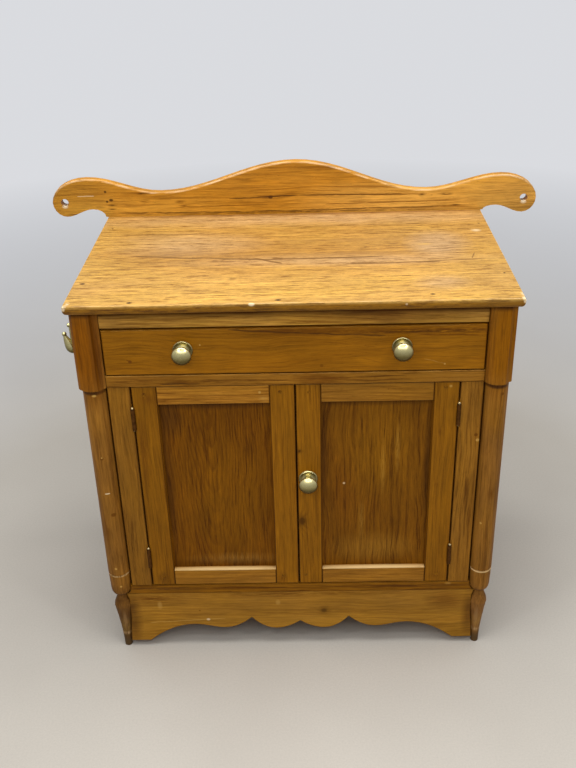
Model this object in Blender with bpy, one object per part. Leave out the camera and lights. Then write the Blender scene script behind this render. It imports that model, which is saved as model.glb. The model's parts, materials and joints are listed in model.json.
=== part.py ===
"""Pine washstand: a panelled cupboard on turned legs, with one drawer and two doors.

Metres, +Z up, +X to the right, the front faces -Y. The origin is on the floor, under the middle.
"""

import math

import bmesh
import bpy
from mathutils import Matrix, Vector

# Fits between pieces
FIT = 0.0003

# Top board
TOP_WIDTH = 0.762
TOP_DEPTH = 0.475
TOP_HEIGHT = 0.765
TOP_THICKNESS = 0.0172
TOP_ARRIS = 0.0015
TOP_NOSE = 0.006
TOP_EDGE_INSET = 0.007
FRONT_OVERHANG = 0.010
SIDE_OVERHANG = 0.006
BACK_OVERHANG = 0.004

# Splashback: heights above the top board, reaches past its ends, and its fall to the right
SPLASH_THICKNESS = 0.020
SPLASH_ROUNDING = 0.003
SPLASH_SEAT = 0.002
SPLASH_FALL = 0.009
CREST_RISE = 0.1075
CREST_SHIFT = 0.005
VALLEY_RISE = 0.0468
VALLEY_SETBACK = 0.111
EAR_TOP_RISE = 0.076
EAR_TOP_REACH = 0.0395
EAR_TIP_REACH = 0.1105
EAR_MIDDLE_RISE = 0.028
EAR_BOTTOM_REACH = 0.0835
EAR_DROP = 0.002
EAR_ROOT_REACH = 0.004
EAR_ARCH_REACH = 0.030
EAR_ARCH_RISE = 0.0133
EAR_HOLE_REACH = 0.086
EAR_HOLE_RISE = 0.0275
EAR_HOLE_DIAMETER = 0.016
SPLASH_TENON_WIDTH = 0.050
SPLASH_TENON_SPACING = 0.280
SPLASH_TENON_DEPTH = 0.009

# Posts: square block, pommel, round column, collar and vase foot
POST_SQUARE = 0.046
POST_COVE = 0.012
POST_CHAMFER = 0.005
BLOCK_DROP = 0.002
POMMEL_HEIGHT = 0.015
COLUMN_DIAMETER = 0.0415
COLLAR_ABOVE_RAIL = 0.033
COLLAR_DIAMETER = 0.041
COLLAR_FOOT_DIAMETER = 0.0388
COLLAR_TURN = 0.016
GROOVE_DEPTH = 0.0032
GROOVE_WIDTH = 0.0036
NECK_DIAMETER = 0.019
BULGE_DIAMETER = 0.0346
BULGE_DROP = 0.0298
TOE_DIAMETER = 0.0146
ANKLE_POWER = 1.7
TURNED_SIDES = 24

# Front rails, jambs and apron
RAIL_RECESS = 0.012
RAIL_THICKNESS = 0.020
TOP_RAIL_HEIGHT = 0.034
DIVIDER_THICKNESS = 0.022
DIVIDER_DEPTH = 0.060
DOOR_RECESS = 0.003
BOTTOM_RAIL_HEIGHT = 0.1355
BOTTOM_RAIL_THICKNESS = 0.0205
BOTTOM_RAIL_DEPTH = 0.040
JAMB_WIDTH = 0.0397
JAMB_THICKNESS = 0.020
TENON_LENGTH = 0.016
TENON_THICKNESS = 0.008
TENON_SHOULDER = 0.006
STUB_TENON = 0.008
APRON_THICKNESS = 0.019
APRON_FLOOR_GAP = 0.013
APRON_END_SETBACK = 0.0135
APRON_FLAT = 0.0345
ARCH_TOP_RISE = 0.041
ARCH_TOP_X = 0.212
LOBE_RISE = 0.0315
LOBE_X = 0.150
SIDE_CUSP_RISE = 0.057
SIDE_CUSP_X = 0.097
SCALLOP_RISE = 0.0285
CENTRE_CUSP_RISE = 0.047

# Sides, back and floor
SIDE_RAIL_THICKNESS = 0.020
SIDE_BOTTOM_RAIL_WIDTH = 0.045
PANEL_TONGUE = 0.008
SIDE_PANEL_THICKNESS = 0.009
BACK_BOARD_THICKNESS = 0.009
BACK_BOARD_TONGUE = 0.010
BACK_SEAM_HEIGHT = 0.450
REAR_RAIL_THICKNESS = 0.020
FLOOR_THICKNESS = 0.016
FLOOR_LIP = 0.006
FLOOR_HOUSING = 0.006

# Drawer
DRAWER_HEIGHT = 0.085
DRAWER_BACK_GAP = 0.0295
DRAWER_TOP_GAP = 0.004
DRAWER_BOTTOM_GAP = 0.0018
DRAWER_SIDE_GAP = 0.0017
DRAWER_FRONT_THICKNESS = 0.020
DRAWER_SIDE_THICKNESS = 0.012
DRAWER_SIDE_DROP = 0.006
DRAWER_BOTTOM_THICKNESS = 0.008
DRAWER_BOTTOM_RISE = 0.008
DRAWER_GROOVE = 0.006
DRAWER_BACK_HOUSING = 0.004
DRAWER_BACK_INSET = 0.012
DOVETAIL_COUNT = 3
DOVETAIL_LENGTH = 0.014
DOVETAIL_ROOT = 0.011
DOVETAIL_TIP = 0.016
RUNNER_PLAY = 0.001
RUNNER_LEDGE = 0.026
RUNNER_THICKNESS = 0.020
GUIDE_HEIGHT = 0.030

# Doors
DOOR_THICKNESS = 0.022
DOOR_GAP = 0.0015
HINGE_GAP = 0.0022
MEETING_GAP = 0.0022
STILE_WIDTH = 0.0436
DOOR_TOP_RAIL_WIDTH = 0.0365
DOOR_BOTTOM_RAIL_WIDTH = 0.035
DOOR_PANEL_RECESS = 0.0115
DOOR_PANEL_THICKNESS = 0.0065
DOOR_TENON_LENGTH = 0.030
DOOR_TENON_HAUNCH = 0.007

# Butt hinges
HINGE_PROUD = 0.002
HINGE_LENGTH = 0.042
HINGE_INSET_TOP = 0.044
HINGE_INSET_BOTTOM = 0.046
KNUCKLE_DIAMETER = 0.0072
PIN_DIAMETER = 0.003
PIN_BALL_DIAMETER = 0.0054
LEAF_THICKNESS = 0.0016
LEAF_WIDTH = 0.018
LEAF_SPACING = 0.0006
HINGE_SIDES = 16

# Knobs, latch, bolt and towel hook
KNOB_DIAMETER = 0.034
KNOB_PROJECTION = 0.0335
KNOB_CROWN = 0.008
KNOB_BACK = 0.0115
KNOB_NECK_DIAMETER = 0.014
KNOB_SIDES = 20
ROSE_DIAMETER = 0.035
ROSE_THICKNESS = 0.003
SPINDLE_DIAMETER = 0.008
DRAWER_SPINDLE_LENGTH = 0.013
DRAWER_KNOB_SPACING = 0.374
DRAWER_KNOB_SHIFT = -0.003
DRAWER_KNOB_RISE = 0.047
DOOR_KNOB_INSET = 0.0193
DOOR_KNOB_HEIGHT = 0.4025
LATCH_BAR_LENGTH = 0.040
LATCH_BAR_WIDTH = 0.014
LATCH_BAR_THICKNESS = 0.003
LATCH_BAR_GAP = 0.001
BOLT_WIDTH = 0.008
BOLT_THICKNESS = 0.005
BOLT_LENGTH = 0.058
BOLT_TRAVEL = 0.010
BOLT_DROP = 0.0012
BOLT_PLATE_WIDTH = 0.020
BOLT_PLATE_THICKNESS = 0.0015
BOLT_STRAP_HEIGHT = 0.008
BOLT_STRAP_WALL = 0.002
BOLT_STUD_LENGTH = 0.007
HOOK_PLATE_HEIGHT = 0.054
HOOK_PLATE_WIDTH = 0.018
HOOK_PLATE_THICKNESS = 0.004
HOOK_TOP_DROP = 0.0255
HOOK_ARM_DIAMETER = 0.005
HOOK_REACH = 0.012
HOOK_TIP_RISE = 0.0325
HOOK_BALL_DIAMETER = 0.008

# Places worked out from the sizes above
KNOB_OVERHANG = max(0.0, KNOB_PROJECTION - FRONT_OVERHANG - RAIL_RECESS)
FRONT_EDGE = (KNOB_OVERHANG - TOP_DEPTH) / 2
BACK_EDGE = FRONT_EDGE + TOP_DEPTH
TOP_END = TOP_WIDTH / 2
TOP_UNDERSIDE = TOP_HEIGHT - TOP_THICKNESS
CARCASS_TOP = TOP_UNDERSIDE - FIT
POST_X = TOP_END - SIDE_OVERHANG - POST_SQUARE / 2
FRONT_POST_Y = FRONT_EDGE + FRONT_OVERHANG + POST_SQUARE / 2
REAR_POST_Y = BACK_EDGE - BACK_OVERHANG - POST_SQUARE / 2
POST_REACH = max(POST_SQUARE, COLUMN_DIAMETER, COLLAR_DIAMETER) / 2 + FIT
SHOULDER_X = POST_X - POST_REACH
FRONT_SHOULDER_Y = FRONT_POST_Y + POST_REACH
REAR_SHOULDER_Y = REAR_POST_Y - POST_REACH
RAIL_FACE = FRONT_POST_Y - POST_SQUARE / 2 + RAIL_RECESS
DOOR_FACE = RAIL_FACE + DOOR_RECESS
DOOR_BACK = DOOR_FACE + DOOR_THICKNESS
TOP_RAIL_BOTTOM = CARCASS_TOP - TOP_RAIL_HEIGHT
DRAWER_TOP = TOP_RAIL_BOTTOM - DRAWER_TOP_GAP
DRAWER_BOTTOM = DRAWER_TOP - DRAWER_HEIGHT
DRAWER_HALF_WIDTH = POST_X - POST_SQUARE / 2 - DRAWER_SIDE_GAP
DIVIDER_TOP = DRAWER_BOTTOM - DRAWER_BOTTOM_GAP
DIVIDER_BOTTOM = DIVIDER_TOP - DIVIDER_THICKNESS
DIVIDER_BACK = RAIL_FACE + DIVIDER_DEPTH
BLOCK_BOTTOM = DIVIDER_BOTTOM - BLOCK_DROP
BOTTOM_RAIL_TOP = BOTTOM_RAIL_HEIGHT + BOTTOM_RAIL_THICKNESS
COLLAR_TOP = BOTTOM_RAIL_TOP + COLLAR_ABOVE_RAIL
SIDE_INNER = POST_X - SIDE_RAIL_THICKNESS / 2
SIDE_OUTER = POST_X + SIDE_RAIL_THICKNESS / 2
SIDE_BOTTOM_RAIL_TOP = BOTTOM_RAIL_HEIGHT + SIDE_BOTTOM_RAIL_WIDTH
FLOOR_TOP = BOTTOM_RAIL_TOP + FLOOR_LIP
FLOOR_BOTTOM = FLOOR_TOP - FLOOR_THICKNESS
FLOOR_FRONT = DOOR_BACK + LATCH_BAR_GAP
BACK_BOARD_FRONT = REAR_POST_Y - BACK_BOARD_THICKNESS / 2
JAMB_EDGE = SHOULDER_X - JAMB_WIDTH
HINGE_X = JAMB_EDGE - HINGE_GAP / 2
HINGE_Y = DOOR_FACE - HINGE_PROUD
DOOR_OUTER = JAMB_EDGE - HINGE_GAP
DOOR_INNER = MEETING_GAP / 2
DOOR_TOP = DIVIDER_BOTTOM - DOOR_GAP
DOOR_BOTTOM = BOTTOM_RAIL_TOP + DOOR_GAP
DOOR_KNOB_X = DOOR_INNER + DOOR_KNOB_INSET
DRAWER_KNOB_Z = DRAWER_BOTTOM + DRAWER_KNOB_RISE
BOLT_X = -(DOOR_INNER + STILE_WIDTH / 2)


def clear_scene():
    for obj in list(bpy.data.objects):
        bpy.data.objects.remove(obj, do_unlink=True)


def material(name, colour, roughness, metallic=0.0):
    made = bpy.data.materials.new(name)
    made.use_nodes = True
    shader = made.node_tree.nodes["Principled BSDF"]
    shader.inputs["Base Color"].default_value = (*colour, 1.0)
    shader.inputs["Roughness"].default_value = roughness
    shader.inputs["Metallic"].default_value = metallic
    return made


def solid(name, bm):
    """Make an object of world-space geometry, with its origin at the middle of its box."""
    low = Vector(min(v.co[i] for v in bm.verts) for i in range(3))
    high = Vector(max(v.co[i] for v in bm.verts) for i in range(3))
    centre = (low + high) / 2
    bmesh.ops.translate(bm, verts=bm.verts, vec=-centre)
    bmesh.ops.recalc_face_normals(bm, faces=bm.faces)
    mesh = bpy.data.meshes.new(name)
    bm.to_mesh(mesh)
    bm.free()
    obj = bpy.data.objects.new(name, mesh)
    obj.location = centre
    bpy.context.collection.objects.link(obj)
    return obj


def block(name, low, high):
    bm = bmesh.new()
    size = Vector(high) - Vector(low)
    middle = (Vector(high) + Vector(low)) / 2
    bmesh.ops.create_cube(bm, size=1.0, matrix=Matrix.Translation(middle) @ Matrix.Diagonal((*size, 1.0)))
    return solid(name, bm)


def along(axis, across, up, reach):
    """Point with reach on the named axis and across, up on the other two, in X, Y, Z order."""
    return {"X": (reach, across, up), "Y": (across, reach, up), "Z": (across, up, reach)}[axis]


def prism(name, outline, axis, low, high, rounding=0.0, is_rounded=None):
    """Extrude a closed outline along an axis, rounding the rims that is_rounded picks."""
    bm = bmesh.new()
    face = bm.faces.new([bm.verts.new(along(axis, u, v, low)) for u, v in outline])
    moved = bmesh.ops.extrude_face_region(bm, geom=[face])["geom"]
    far = [item for item in moved if isinstance(item, bmesh.types.BMVert)]
    bmesh.ops.translate(bm, verts=far, vec=along(axis, 0.0, 0.0, high - low))
    if rounding:
        place = "XYZ".index(axis)
        rims = [edge for edge in bm.edges if edge.verts[0].co[place] == edge.verts[1].co[place]]
        rims = [edge for edge in rims if is_rounded(edge)]
        bmesh.ops.bevel(bm, geom=rims, offset=rounding, segments=2, profile=0.5, affect="EDGES")
    return solid(name, bm)


def turned(name, profile, centre, sides, axis="Z", closed=False):
    """Spin a profile of (radius, distance) points about an axis through centre.

    An open profile starts and ends on the axis; a closed one is a ring's section. Along Y, the
    distance runs to the front.
    """
    bm = bmesh.new()
    verts = [bm.verts.new((radius, 0.0, distance)) for radius, distance in profile]
    ends = zip(verts, verts[1:] + verts[:1]) if closed else zip(verts, verts[1:])
    for start, end in ends:
        bm.edges.new((start, end))
    bmesh.ops.spin(bm, geom=bm.verts[:] + bm.edges[:], axis=(0, 0, 1), cent=(0, 0, 0), steps=sides,
                   angle=2 * math.pi, use_merge=True)
    bmesh.ops.remove_doubles(bm, verts=bm.verts, dist=0.00001)
    turn = Matrix.Rotation(math.pi / 2, 4, "X") if axis == "Y" else Matrix()
    bmesh.ops.transform(bm, matrix=Matrix.Translation(centre) @ turn, verts=bm.verts)
    return solid(name, bm)


def combine(obj, tool, operation):
    """Apply one Boolean of obj with tool, and drop the tool."""
    modifier = obj.modifiers.new(operation.lower(), "BOOLEAN")
    modifier.operation = operation
    modifier.solver = "EXACT"
    modifier.object = tool
    depsgraph = bpy.context.evaluated_depsgraph_get()
    shaped = bpy.data.meshes.new_from_object(obj.evaluated_get(depsgraph))
    obj.modifiers.clear()
    obj.data = shaped
    bpy.data.objects.remove(tool, do_unlink=True)
    return obj


def fuse(obj, *tools):
    for tool in tools:
        combine(obj, tool, "UNION")
    return obj


def cut(obj, *tools):
    for tool in tools:
        combine(obj, tool, "DIFFERENCE")
    return obj


def let_in(low, high, *hosts):
    """Cut the seat of a piece that fills low to high out of each host, with the fit all round."""
    grow = Vector((FIT, FIT, FIT))
    for host in hosts:
        cut(host, block("seat", Vector(low) - grow, Vector(high) + grow))


def tenoned(name, low, high, tenon_low, tenon_high):
    """Rail or stile with a tenon at both ends: one long block through a thicker body."""
    return fuse(block(name, low, high), block("tenon", tenon_low, tenon_high))


def mirrored(low, high, side):
    """Corners of a box that is set out on the right, for the right (1) or left (-1) side."""
    if side > 0:
        return low, high
    return (-high[0], low[1], low[2]), (-low[0], high[1], high[2])


def rounded_stretch(start, end, steps, centre, begin, finish):
    """Points on an ellipse about centre with half axes start, end, between two angles in degrees."""
    points = []
    for step in range(steps + 1):
        angle = math.radians(begin + (finish - begin) * step / steps)
        points.append((centre[0] + start * math.cos(angle), centre[1] + end * math.sin(angle)))
    return points


def ogee(start, end, steps):
    """Smooth S-curve that leaves start and reaches end level."""
    points = []
    for step in range(steps + 1):
        share = step / steps
        blend = (1 - math.cos(math.pi * share)) / 2
        points.append((start[0] + (end[0] - start[0]) * share, start[1] + (end[1] - start[1]) * blend))
    return points


def bowl(vertex, rim, steps):
    """Parabola from its level vertex to the rim."""
    points = []
    for step in range(steps + 1):
        share = step / steps
        points.append((vertex[0] + (rim[0] - vertex[0]) * share,
                       vertex[1] + (rim[1] - vertex[1]) * share ** 2))
    return points


def chain(*stretches):
    """Join stretches of points end to end, leaving out points that repeat."""
    points = []
    for stretch in stretches:
        for point in stretch:
            if not points or math.dist(point, points[-1]) > 0.00005:
                points.append(point)
    return points


def both_halves(half):
    """Close a half outline, set out from the middle to the right, with its mirror image."""
    left = [(-x, z) for x, z in reversed(half) if x > 0.00005]
    return half + left


def set_smooth(obj):
    obj.data.shade_smooth()
    obj.data.set_sharp_from_angle(angle=math.radians(35))


def post_block(name, x, y, front):
    """Square head of a post: hollow right corner and chamfered left corner on its outer face."""
    half = POST_SQUARE / 2
    hollow = rounded_stretch(POST_COVE, POST_COVE, 5, (half, -half), 180, 90)
    outline = [(-half, half), (-half, -half + POST_CHAMFER), (-half + POST_CHAMFER, -half)]
    if front:
        outline += hollow
    else:
        outline += [(half - POST_CHAMFER, -half), (half, -half + POST_CHAMFER)]
    outline.append((half, half))
    facing = 1 if front else -1
    plan = [(x + u * facing, y + v * facing) for u, v in outline]
    return prism(name, plan, "Z", BLOCK_BOTTOM, CARCASS_TOP)


def pommel_profile():
    """Turned envelope of the block: it rounds the block's lower corners into the column."""
    corner = POST_SQUARE / math.sqrt(2) + FIT
    column = COLUMN_DIAMETER / 2
    top = CARCASS_TOP + POST_SQUARE
    shoulder = rounded_stretch(corner - column, POMMEL_HEIGHT, 6,
                               (column, BLOCK_BOTTOM + POMMEL_HEIGHT), 0, -90)
    return [(0.0, top), (corner, top)] + shoulder + [(0.0, BLOCK_BOTTOM)]


def leg_profile():
    """Column, V-groove, collar, neck and vase foot, from inside the block down to the floor."""
    column = COLUMN_DIAMETER / 2
    collar = COLLAR_DIAMETER / 2
    collar_foot = COLLAR_FOOT_DIAMETER / 2
    neck = NECK_DIAMETER / 2
    bulge = BULGE_DIAMETER / 2
    toe = TOE_DIAMETER / 2
    groove = column - GROOVE_DEPTH
    neck_z = BOTTOM_RAIL_HEIGHT
    bulge_z = neck_z - BULGE_DROP
    turn = rounded_stretch(collar_foot - neck, COLLAR_TURN, 4, (neck, neck_z + COLLAR_TURN), 0, -90)
    swell = [(r, z) for z, r in ogee((neck_z, neck), (bulge_z, bulge), 5)]
    ankle = []
    for step in range(1, 7):
        left = 1 - step / 6
        ankle.append((toe + (bulge - toe) * left ** ANKLE_POWER, bulge_z * left))
    return chain([(0.0, BLOCK_BOTTOM + POMMEL_HEIGHT), (column, BLOCK_BOTTOM + POMMEL_HEIGHT)],
                 [(column, COLLAR_TOP + GROOVE_WIDTH / 2), (groove, COLLAR_TOP)],
                 [(collar, COLLAR_TOP - GROOVE_WIDTH / 2)],
                 turn, swell, ankle, [(0.0, 0.0)])


def post(name, x, y, front):
    head = post_block(name, x, y, front)
    combine(head, turned("pommel", pommel_profile(), (x, y, 0), TURNED_SIDES), "INTERSECT")
    fuse(head, turned("leg", leg_profile(), (x, y, 0), TURNED_SIDES))
    set_smooth(head)
    return head


def make_posts():
    posts = {}
    for hand, x in (("left", -POST_X), ("right", POST_X)):
        for end, y in (("front", FRONT_POST_Y), ("rear", REAR_POST_Y)):
            name = f"{end}_{hand}_post"
            posts[name] = post(name, x, y, end == "front")
    return posts


def make_top_board():
    """Board with a nosing and an ovolo worked on its front and both ends."""
    levels = [(TOP_HEIGHT, TOP_ARRIS), (TOP_HEIGHT - TOP_ARRIS / 3, TOP_ARRIS / 3),
              (TOP_HEIGHT - TOP_ARRIS, 0.0), (TOP_HEIGHT - TOP_NOSE, 0.0)]
    ovolo = TOP_THICKNESS - TOP_NOSE
    curve = rounded_stretch(TOP_EDGE_INSET, ovolo, 6, (TOP_EDGE_INSET, TOP_HEIGHT - TOP_NOSE), 180, 270)
    levels += [(z, inset) for inset, z in curve[1:]]
    bm = bmesh.new()
    rings = []
    for z, inset in levels:
        corners = [(-TOP_END + inset, FRONT_EDGE + inset), (TOP_END - inset, FRONT_EDGE + inset),
                   (TOP_END - inset, BACK_EDGE), (-TOP_END + inset, BACK_EDGE)]
        rings.append([bm.verts.new((x, y, z)) for x, y in corners])
    for upper, lower in zip(rings, rings[1:]):
        for i in range(4):
            bm.faces.new((upper[i], upper[i - 1], lower[i - 1], lower[i]))
    bm.faces.new(rings[0])
    bm.faces.new(list(reversed(rings[-1])))
    return solid("top_board", bm)


def splash_half(side):
    """Half of the splashback's front view, from the crest out to one side, as rises above the top."""
    valley = TOP_END - VALLEY_SETBACK
    ear_top = TOP_END + EAR_TOP_REACH
    tip = TOP_END + EAR_TIP_REACH
    ear_bottom = TOP_END + EAR_BOTTOM_REACH
    arch = TOP_END + EAR_ARCH_REACH
    root = TOP_END + EAR_ROOT_REACH
    fall = side * SPLASH_FALL
    valley_z = VALLEY_RISE - fall * valley
    ear_top_z = EAR_TOP_RISE - fall * ear_top
    tip_z = EAR_MIDDLE_RISE - fall * tip
    ear_bottom_z = -EAR_DROP - fall * ear_bottom
    arch_z = EAR_ARCH_RISE - fall * arch
    return chain(ogee((side * CREST_SHIFT, CREST_RISE), (valley, valley_z), 12),
                 ogee((valley, valley_z), (ear_top, ear_top_z), 8),
                 rounded_stretch(tip - ear_top, ear_top_z - tip_z, 7, (ear_top, tip_z), 90, 0),
                 rounded_stretch(tip - ear_bottom, tip_z - ear_bottom_z, 5, (ear_bottom, tip_z), 0, -90),
                 ogee((ear_bottom, ear_bottom_z), (arch, arch_z), 6),
                 rounded_stretch(arch - root, arch_z - FIT, 4, (arch, FIT), 90, 180),
                 [(root, FIT), (TOP_END, FIT), (TOP_END, FIT - SPLASH_SEAT)])


def splash_outline():
    right = [(x, TOP_HEIGHT + rise) for x, rise in splash_half(1)]
    left = [(-x, TOP_HEIGHT + rise) for x, rise in splash_half(-1)]
    return right + list(reversed(left))[:-1]


def make_splashback(top_board):
    """Shaped board that stands in a shallow rebate along the top's rear edge, on three stub tenons."""
    front = BACK_EDGE - SPLASH_THICKNESS
    upper = TOP_HEIGHT + VALLEY_RISE - SPLASH_ROUNDING * 2

    def is_upper_rim(edge):
        return min(v.co.z for v in edge.verts) >= upper

    board = prism("splashback", splash_outline(), "Y", front, BACK_EDGE, SPLASH_ROUNDING, is_upper_rim)
    for side in (-1, 1):
        hole_x = side * (TOP_END + EAR_HOLE_REACH)
        centre = (hole_x, (front + BACK_EDGE) / 2, TOP_HEIGHT + EAR_HOLE_RISE - SPLASH_FALL * hole_x)
        radius = EAR_HOLE_DIAMETER / 2
        reach = SPLASH_THICKNESS
        drill = [(0, reach), (radius, reach), (radius, -reach), (0, -reach)]
        cut(board, turned("hole", drill, centre, KNOB_SIDES, "Y"))
    rebate_low = (-TOP_END - SPLASH_SEAT, front - FIT, TOP_HEIGHT - SPLASH_SEAT)
    rebate_high = (TOP_END + SPLASH_SEAT, BACK_EDGE + SPLASH_SEAT, TOP_HEIGHT + SPLASH_SEAT)
    cut(top_board, block("rebate", rebate_low, rebate_high))
    tenon_y = (front + BACK_EDGE) / 2
    for x in (-SPLASH_TENON_SPACING, 0.0, SPLASH_TENON_SPACING):
        low = (x - SPLASH_TENON_WIDTH / 2, tenon_y - TENON_THICKNESS / 2, TOP_HEIGHT - SPLASH_TENON_DEPTH)
        high = (x + SPLASH_TENON_WIDTH / 2, tenon_y + TENON_THICKNESS / 2, TOP_HEIGHT + SPLASH_TENON_DEPTH)
        fuse(board, block("tenon", low, high))
        let_in(low, high, top_board)
    set_smooth(board)
    return board


def make_front_rails(posts):
    """Rails above and below the drawer and under the doors, tenoned into the front posts."""
    hosts = posts["front_left_post"], posts["front_right_post"]
    tenon_x = SHOULDER_X + TENON_LENGTH
    middle = RAIL_FACE + RAIL_THICKNESS / 2
    rails = {}
    spans = {
        "drawer_top_rail": (RAIL_FACE, RAIL_FACE + RAIL_THICKNESS, TOP_RAIL_BOTTOM, CARCASS_TOP),
        "drawer_divider_rail": (RAIL_FACE, DIVIDER_BACK, DIVIDER_BOTTOM, DIVIDER_TOP),
        "bottom_front_rail": (DOOR_FACE, DOOR_FACE + BOTTOM_RAIL_DEPTH, BOTTOM_RAIL_HEIGHT, BOTTOM_RAIL_TOP),
    }
    for name, (front, back, bottom, top) in spans.items():
        tenon_low = (-tenon_x, middle - TENON_THICKNESS / 2, bottom + TENON_SHOULDER)
        tenon_high = (tenon_x, middle + TENON_THICKNESS / 2, top - TENON_SHOULDER)
        low = (-SHOULDER_X, front, bottom)
        high = (SHOULDER_X, back, top)
        rails[name] = tenoned(name, low, high, tenon_low, tenon_high)
        let_in(tenon_low, tenon_high, *hosts)
    return rails


def make_jamb(side, rails):
    """Fixed stile beside a door, with stub tenons up into the divider and down into the bottom rail."""
    name = "right_door_jamb" if side > 0 else "left_door_jamb"
    low = (JAMB_EDGE, DOOR_FACE, BOTTOM_RAIL_TOP + FIT)
    high = (SHOULDER_X, DOOR_FACE + JAMB_THICKNESS, DIVIDER_BOTTOM - FIT)
    tenon_low = (JAMB_EDGE + TENON_SHOULDER, DOOR_FACE + TENON_SHOULDER, BOTTOM_RAIL_TOP - STUB_TENON)
    tenon_high = (SHOULDER_X - TENON_SHOULDER, DOOR_FACE + JAMB_THICKNESS - TENON_SHOULDER,
                  DIVIDER_BOTTOM + STUB_TENON)
    low, high = mirrored(low, high, side)
    tenon_low, tenon_high = mirrored(tenon_low, tenon_high, side)
    let_in(tenon_low, tenon_high, rails["drawer_divider_rail"], rails["bottom_front_rail"])
    return tenoned(name, low, high, tenon_low, tenon_high)


def apron_outline():
    """Scalloped lower edge from the middle to the right: lobes between cusps, then an arch to a foot."""
    foot = APRON_FLOOR_GAP
    end = POST_X - APRON_END_SETBACK
    scallop_x = SIDE_CUSP_X / 2
    scallop = (scallop_x, foot + SCALLOP_RISE)
    centre_cusp = (0.0, foot + CENTRE_CUSP_RISE)
    side_cusp = (SIDE_CUSP_X, foot + SIDE_CUSP_RISE)
    lobe = (LOBE_X, foot + LOBE_RISE)
    arch_top = (ARCH_TOP_X, foot + ARCH_TOP_RISE)
    lower = chain(reversed(bowl(scallop, centre_cusp, 5)), bowl(scallop, side_cusp, 5),
                  reversed(bowl(lobe, side_cusp, 5)), ogee(lobe, arch_top, 6),
                  bowl(arch_top, (end - APRON_FLAT, foot), 7), [(end, foot)])
    return both_halves(lower + [(end, BOTTOM_RAIL_HEIGHT - FIT)])


def make_apron(posts):
    apron = prism("front_apron", apron_outline(), "Y", DOOR_FACE, DOOR_FACE + APRON_THICKNESS)
    end = POST_X - APRON_END_SETBACK
    low = (-end, DOOR_FACE, APRON_FLOOR_GAP)
    high = (end, DOOR_FACE + APRON_THICKNESS, BOTTOM_RAIL_HEIGHT - FIT)
    let_in(low, high, posts["front_left_post"], posts["front_right_post"])
    return apron


def make_side(side, posts):
    """Frame-and-panel end: two rails tenoned into the posts and a panel in their grooves."""
    hand = "right" if side > 0 else "left"
    hosts = posts[f"front_{hand}_post"], posts[f"rear_{hand}_post"]
    rails = []
    collar_limit = min(SIDE_BOTTOM_RAIL_TOP, COLLAR_TOP) - TENON_SHOULDER
    top_limit = CARCASS_TOP - TENON_SHOULDER
    spans = (("top", DIVIDER_BOTTOM, CARCASS_TOP, top_limit, PANEL_TONGUE + TENON_SHOULDER),
             ("bottom", BOTTOM_RAIL_HEIGHT, SIDE_BOTTOM_RAIL_TOP, collar_limit, TENON_SHOULDER))
    for place, bottom, top, tenon_top, tenon_rise in spans:
        low, high = mirrored((SIDE_INNER, FRONT_SHOULDER_Y, bottom),
                             (SIDE_OUTER, REAR_SHOULDER_Y, top), side)
        tenon_low, tenon_high = mirrored(
            (POST_X - TENON_THICKNESS / 2, FRONT_SHOULDER_Y - TENON_LENGTH, bottom + tenon_rise),
            (POST_X + TENON_THICKNESS / 2, REAR_SHOULDER_Y + TENON_LENGTH, tenon_top), side)
        rails.append(tenoned(f"{hand}_side_{place}_rail", low, high, tenon_low, tenon_high))
        let_in(tenon_low, tenon_high, *hosts)
    groove = COLUMN_DIAMETER / 2 - PANEL_TONGUE
    low, high = mirrored(
        (POST_X - SIDE_PANEL_THICKNESS / 2, FRONT_POST_Y + groove, SIDE_BOTTOM_RAIL_TOP - PANEL_TONGUE),
        (POST_X + SIDE_PANEL_THICKNESS / 2, REAR_POST_Y - groove, DIVIDER_BOTTOM + PANEL_TONGUE), side)
    panel = block(f"{hand}_side_panel", low, high)
    let_in(low, high, *rails, *hosts)
    return [*rails, panel]


def make_back(posts):
    """Bottom rail and two wide boards between the rear posts."""
    hosts = posts["rear_left_post"], posts["rear_right_post"]
    front = REAR_POST_Y - REAR_RAIL_THICKNESS / 2
    back = REAR_POST_Y + REAR_RAIL_THICKNESS / 2
    tenon_x = SHOULDER_X + TENON_LENGTH
    tenon_low = (-tenon_x, REAR_POST_Y - TENON_THICKNESS / 2, BOTTOM_RAIL_HEIGHT + TENON_SHOULDER)
    tenon_high = (tenon_x, REAR_POST_Y + TENON_THICKNESS / 2, BOTTOM_RAIL_TOP - TENON_SHOULDER)
    rail = tenoned("rear_bottom_rail", (-SHOULDER_X, front, BOTTOM_RAIL_HEIGHT),
                   (SHOULDER_X, back, BOTTOM_RAIL_TOP), tenon_low, tenon_high)
    let_in(tenon_low, tenon_high, *hosts)
    pieces = {"rear_bottom_rail": rail}
    reach = POST_X - POST_SQUARE / 2 + BACK_BOARD_TONGUE
    spans = {"lower_back_board": (BOTTOM_RAIL_TOP + FIT, BACK_SEAM_HEIGHT - FIT),
             "upper_back_board": (BACK_SEAM_HEIGHT, CARCASS_TOP)}
    for name, (bottom, top) in spans.items():
        low = (-reach, BACK_BOARD_FRONT, bottom)
        high = (reach, BACK_BOARD_FRONT + BACK_BOARD_THICKNESS, top)
        pieces[name] = block(name, low, high)
        let_in(low, high, *hosts)
    return pieces


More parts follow.
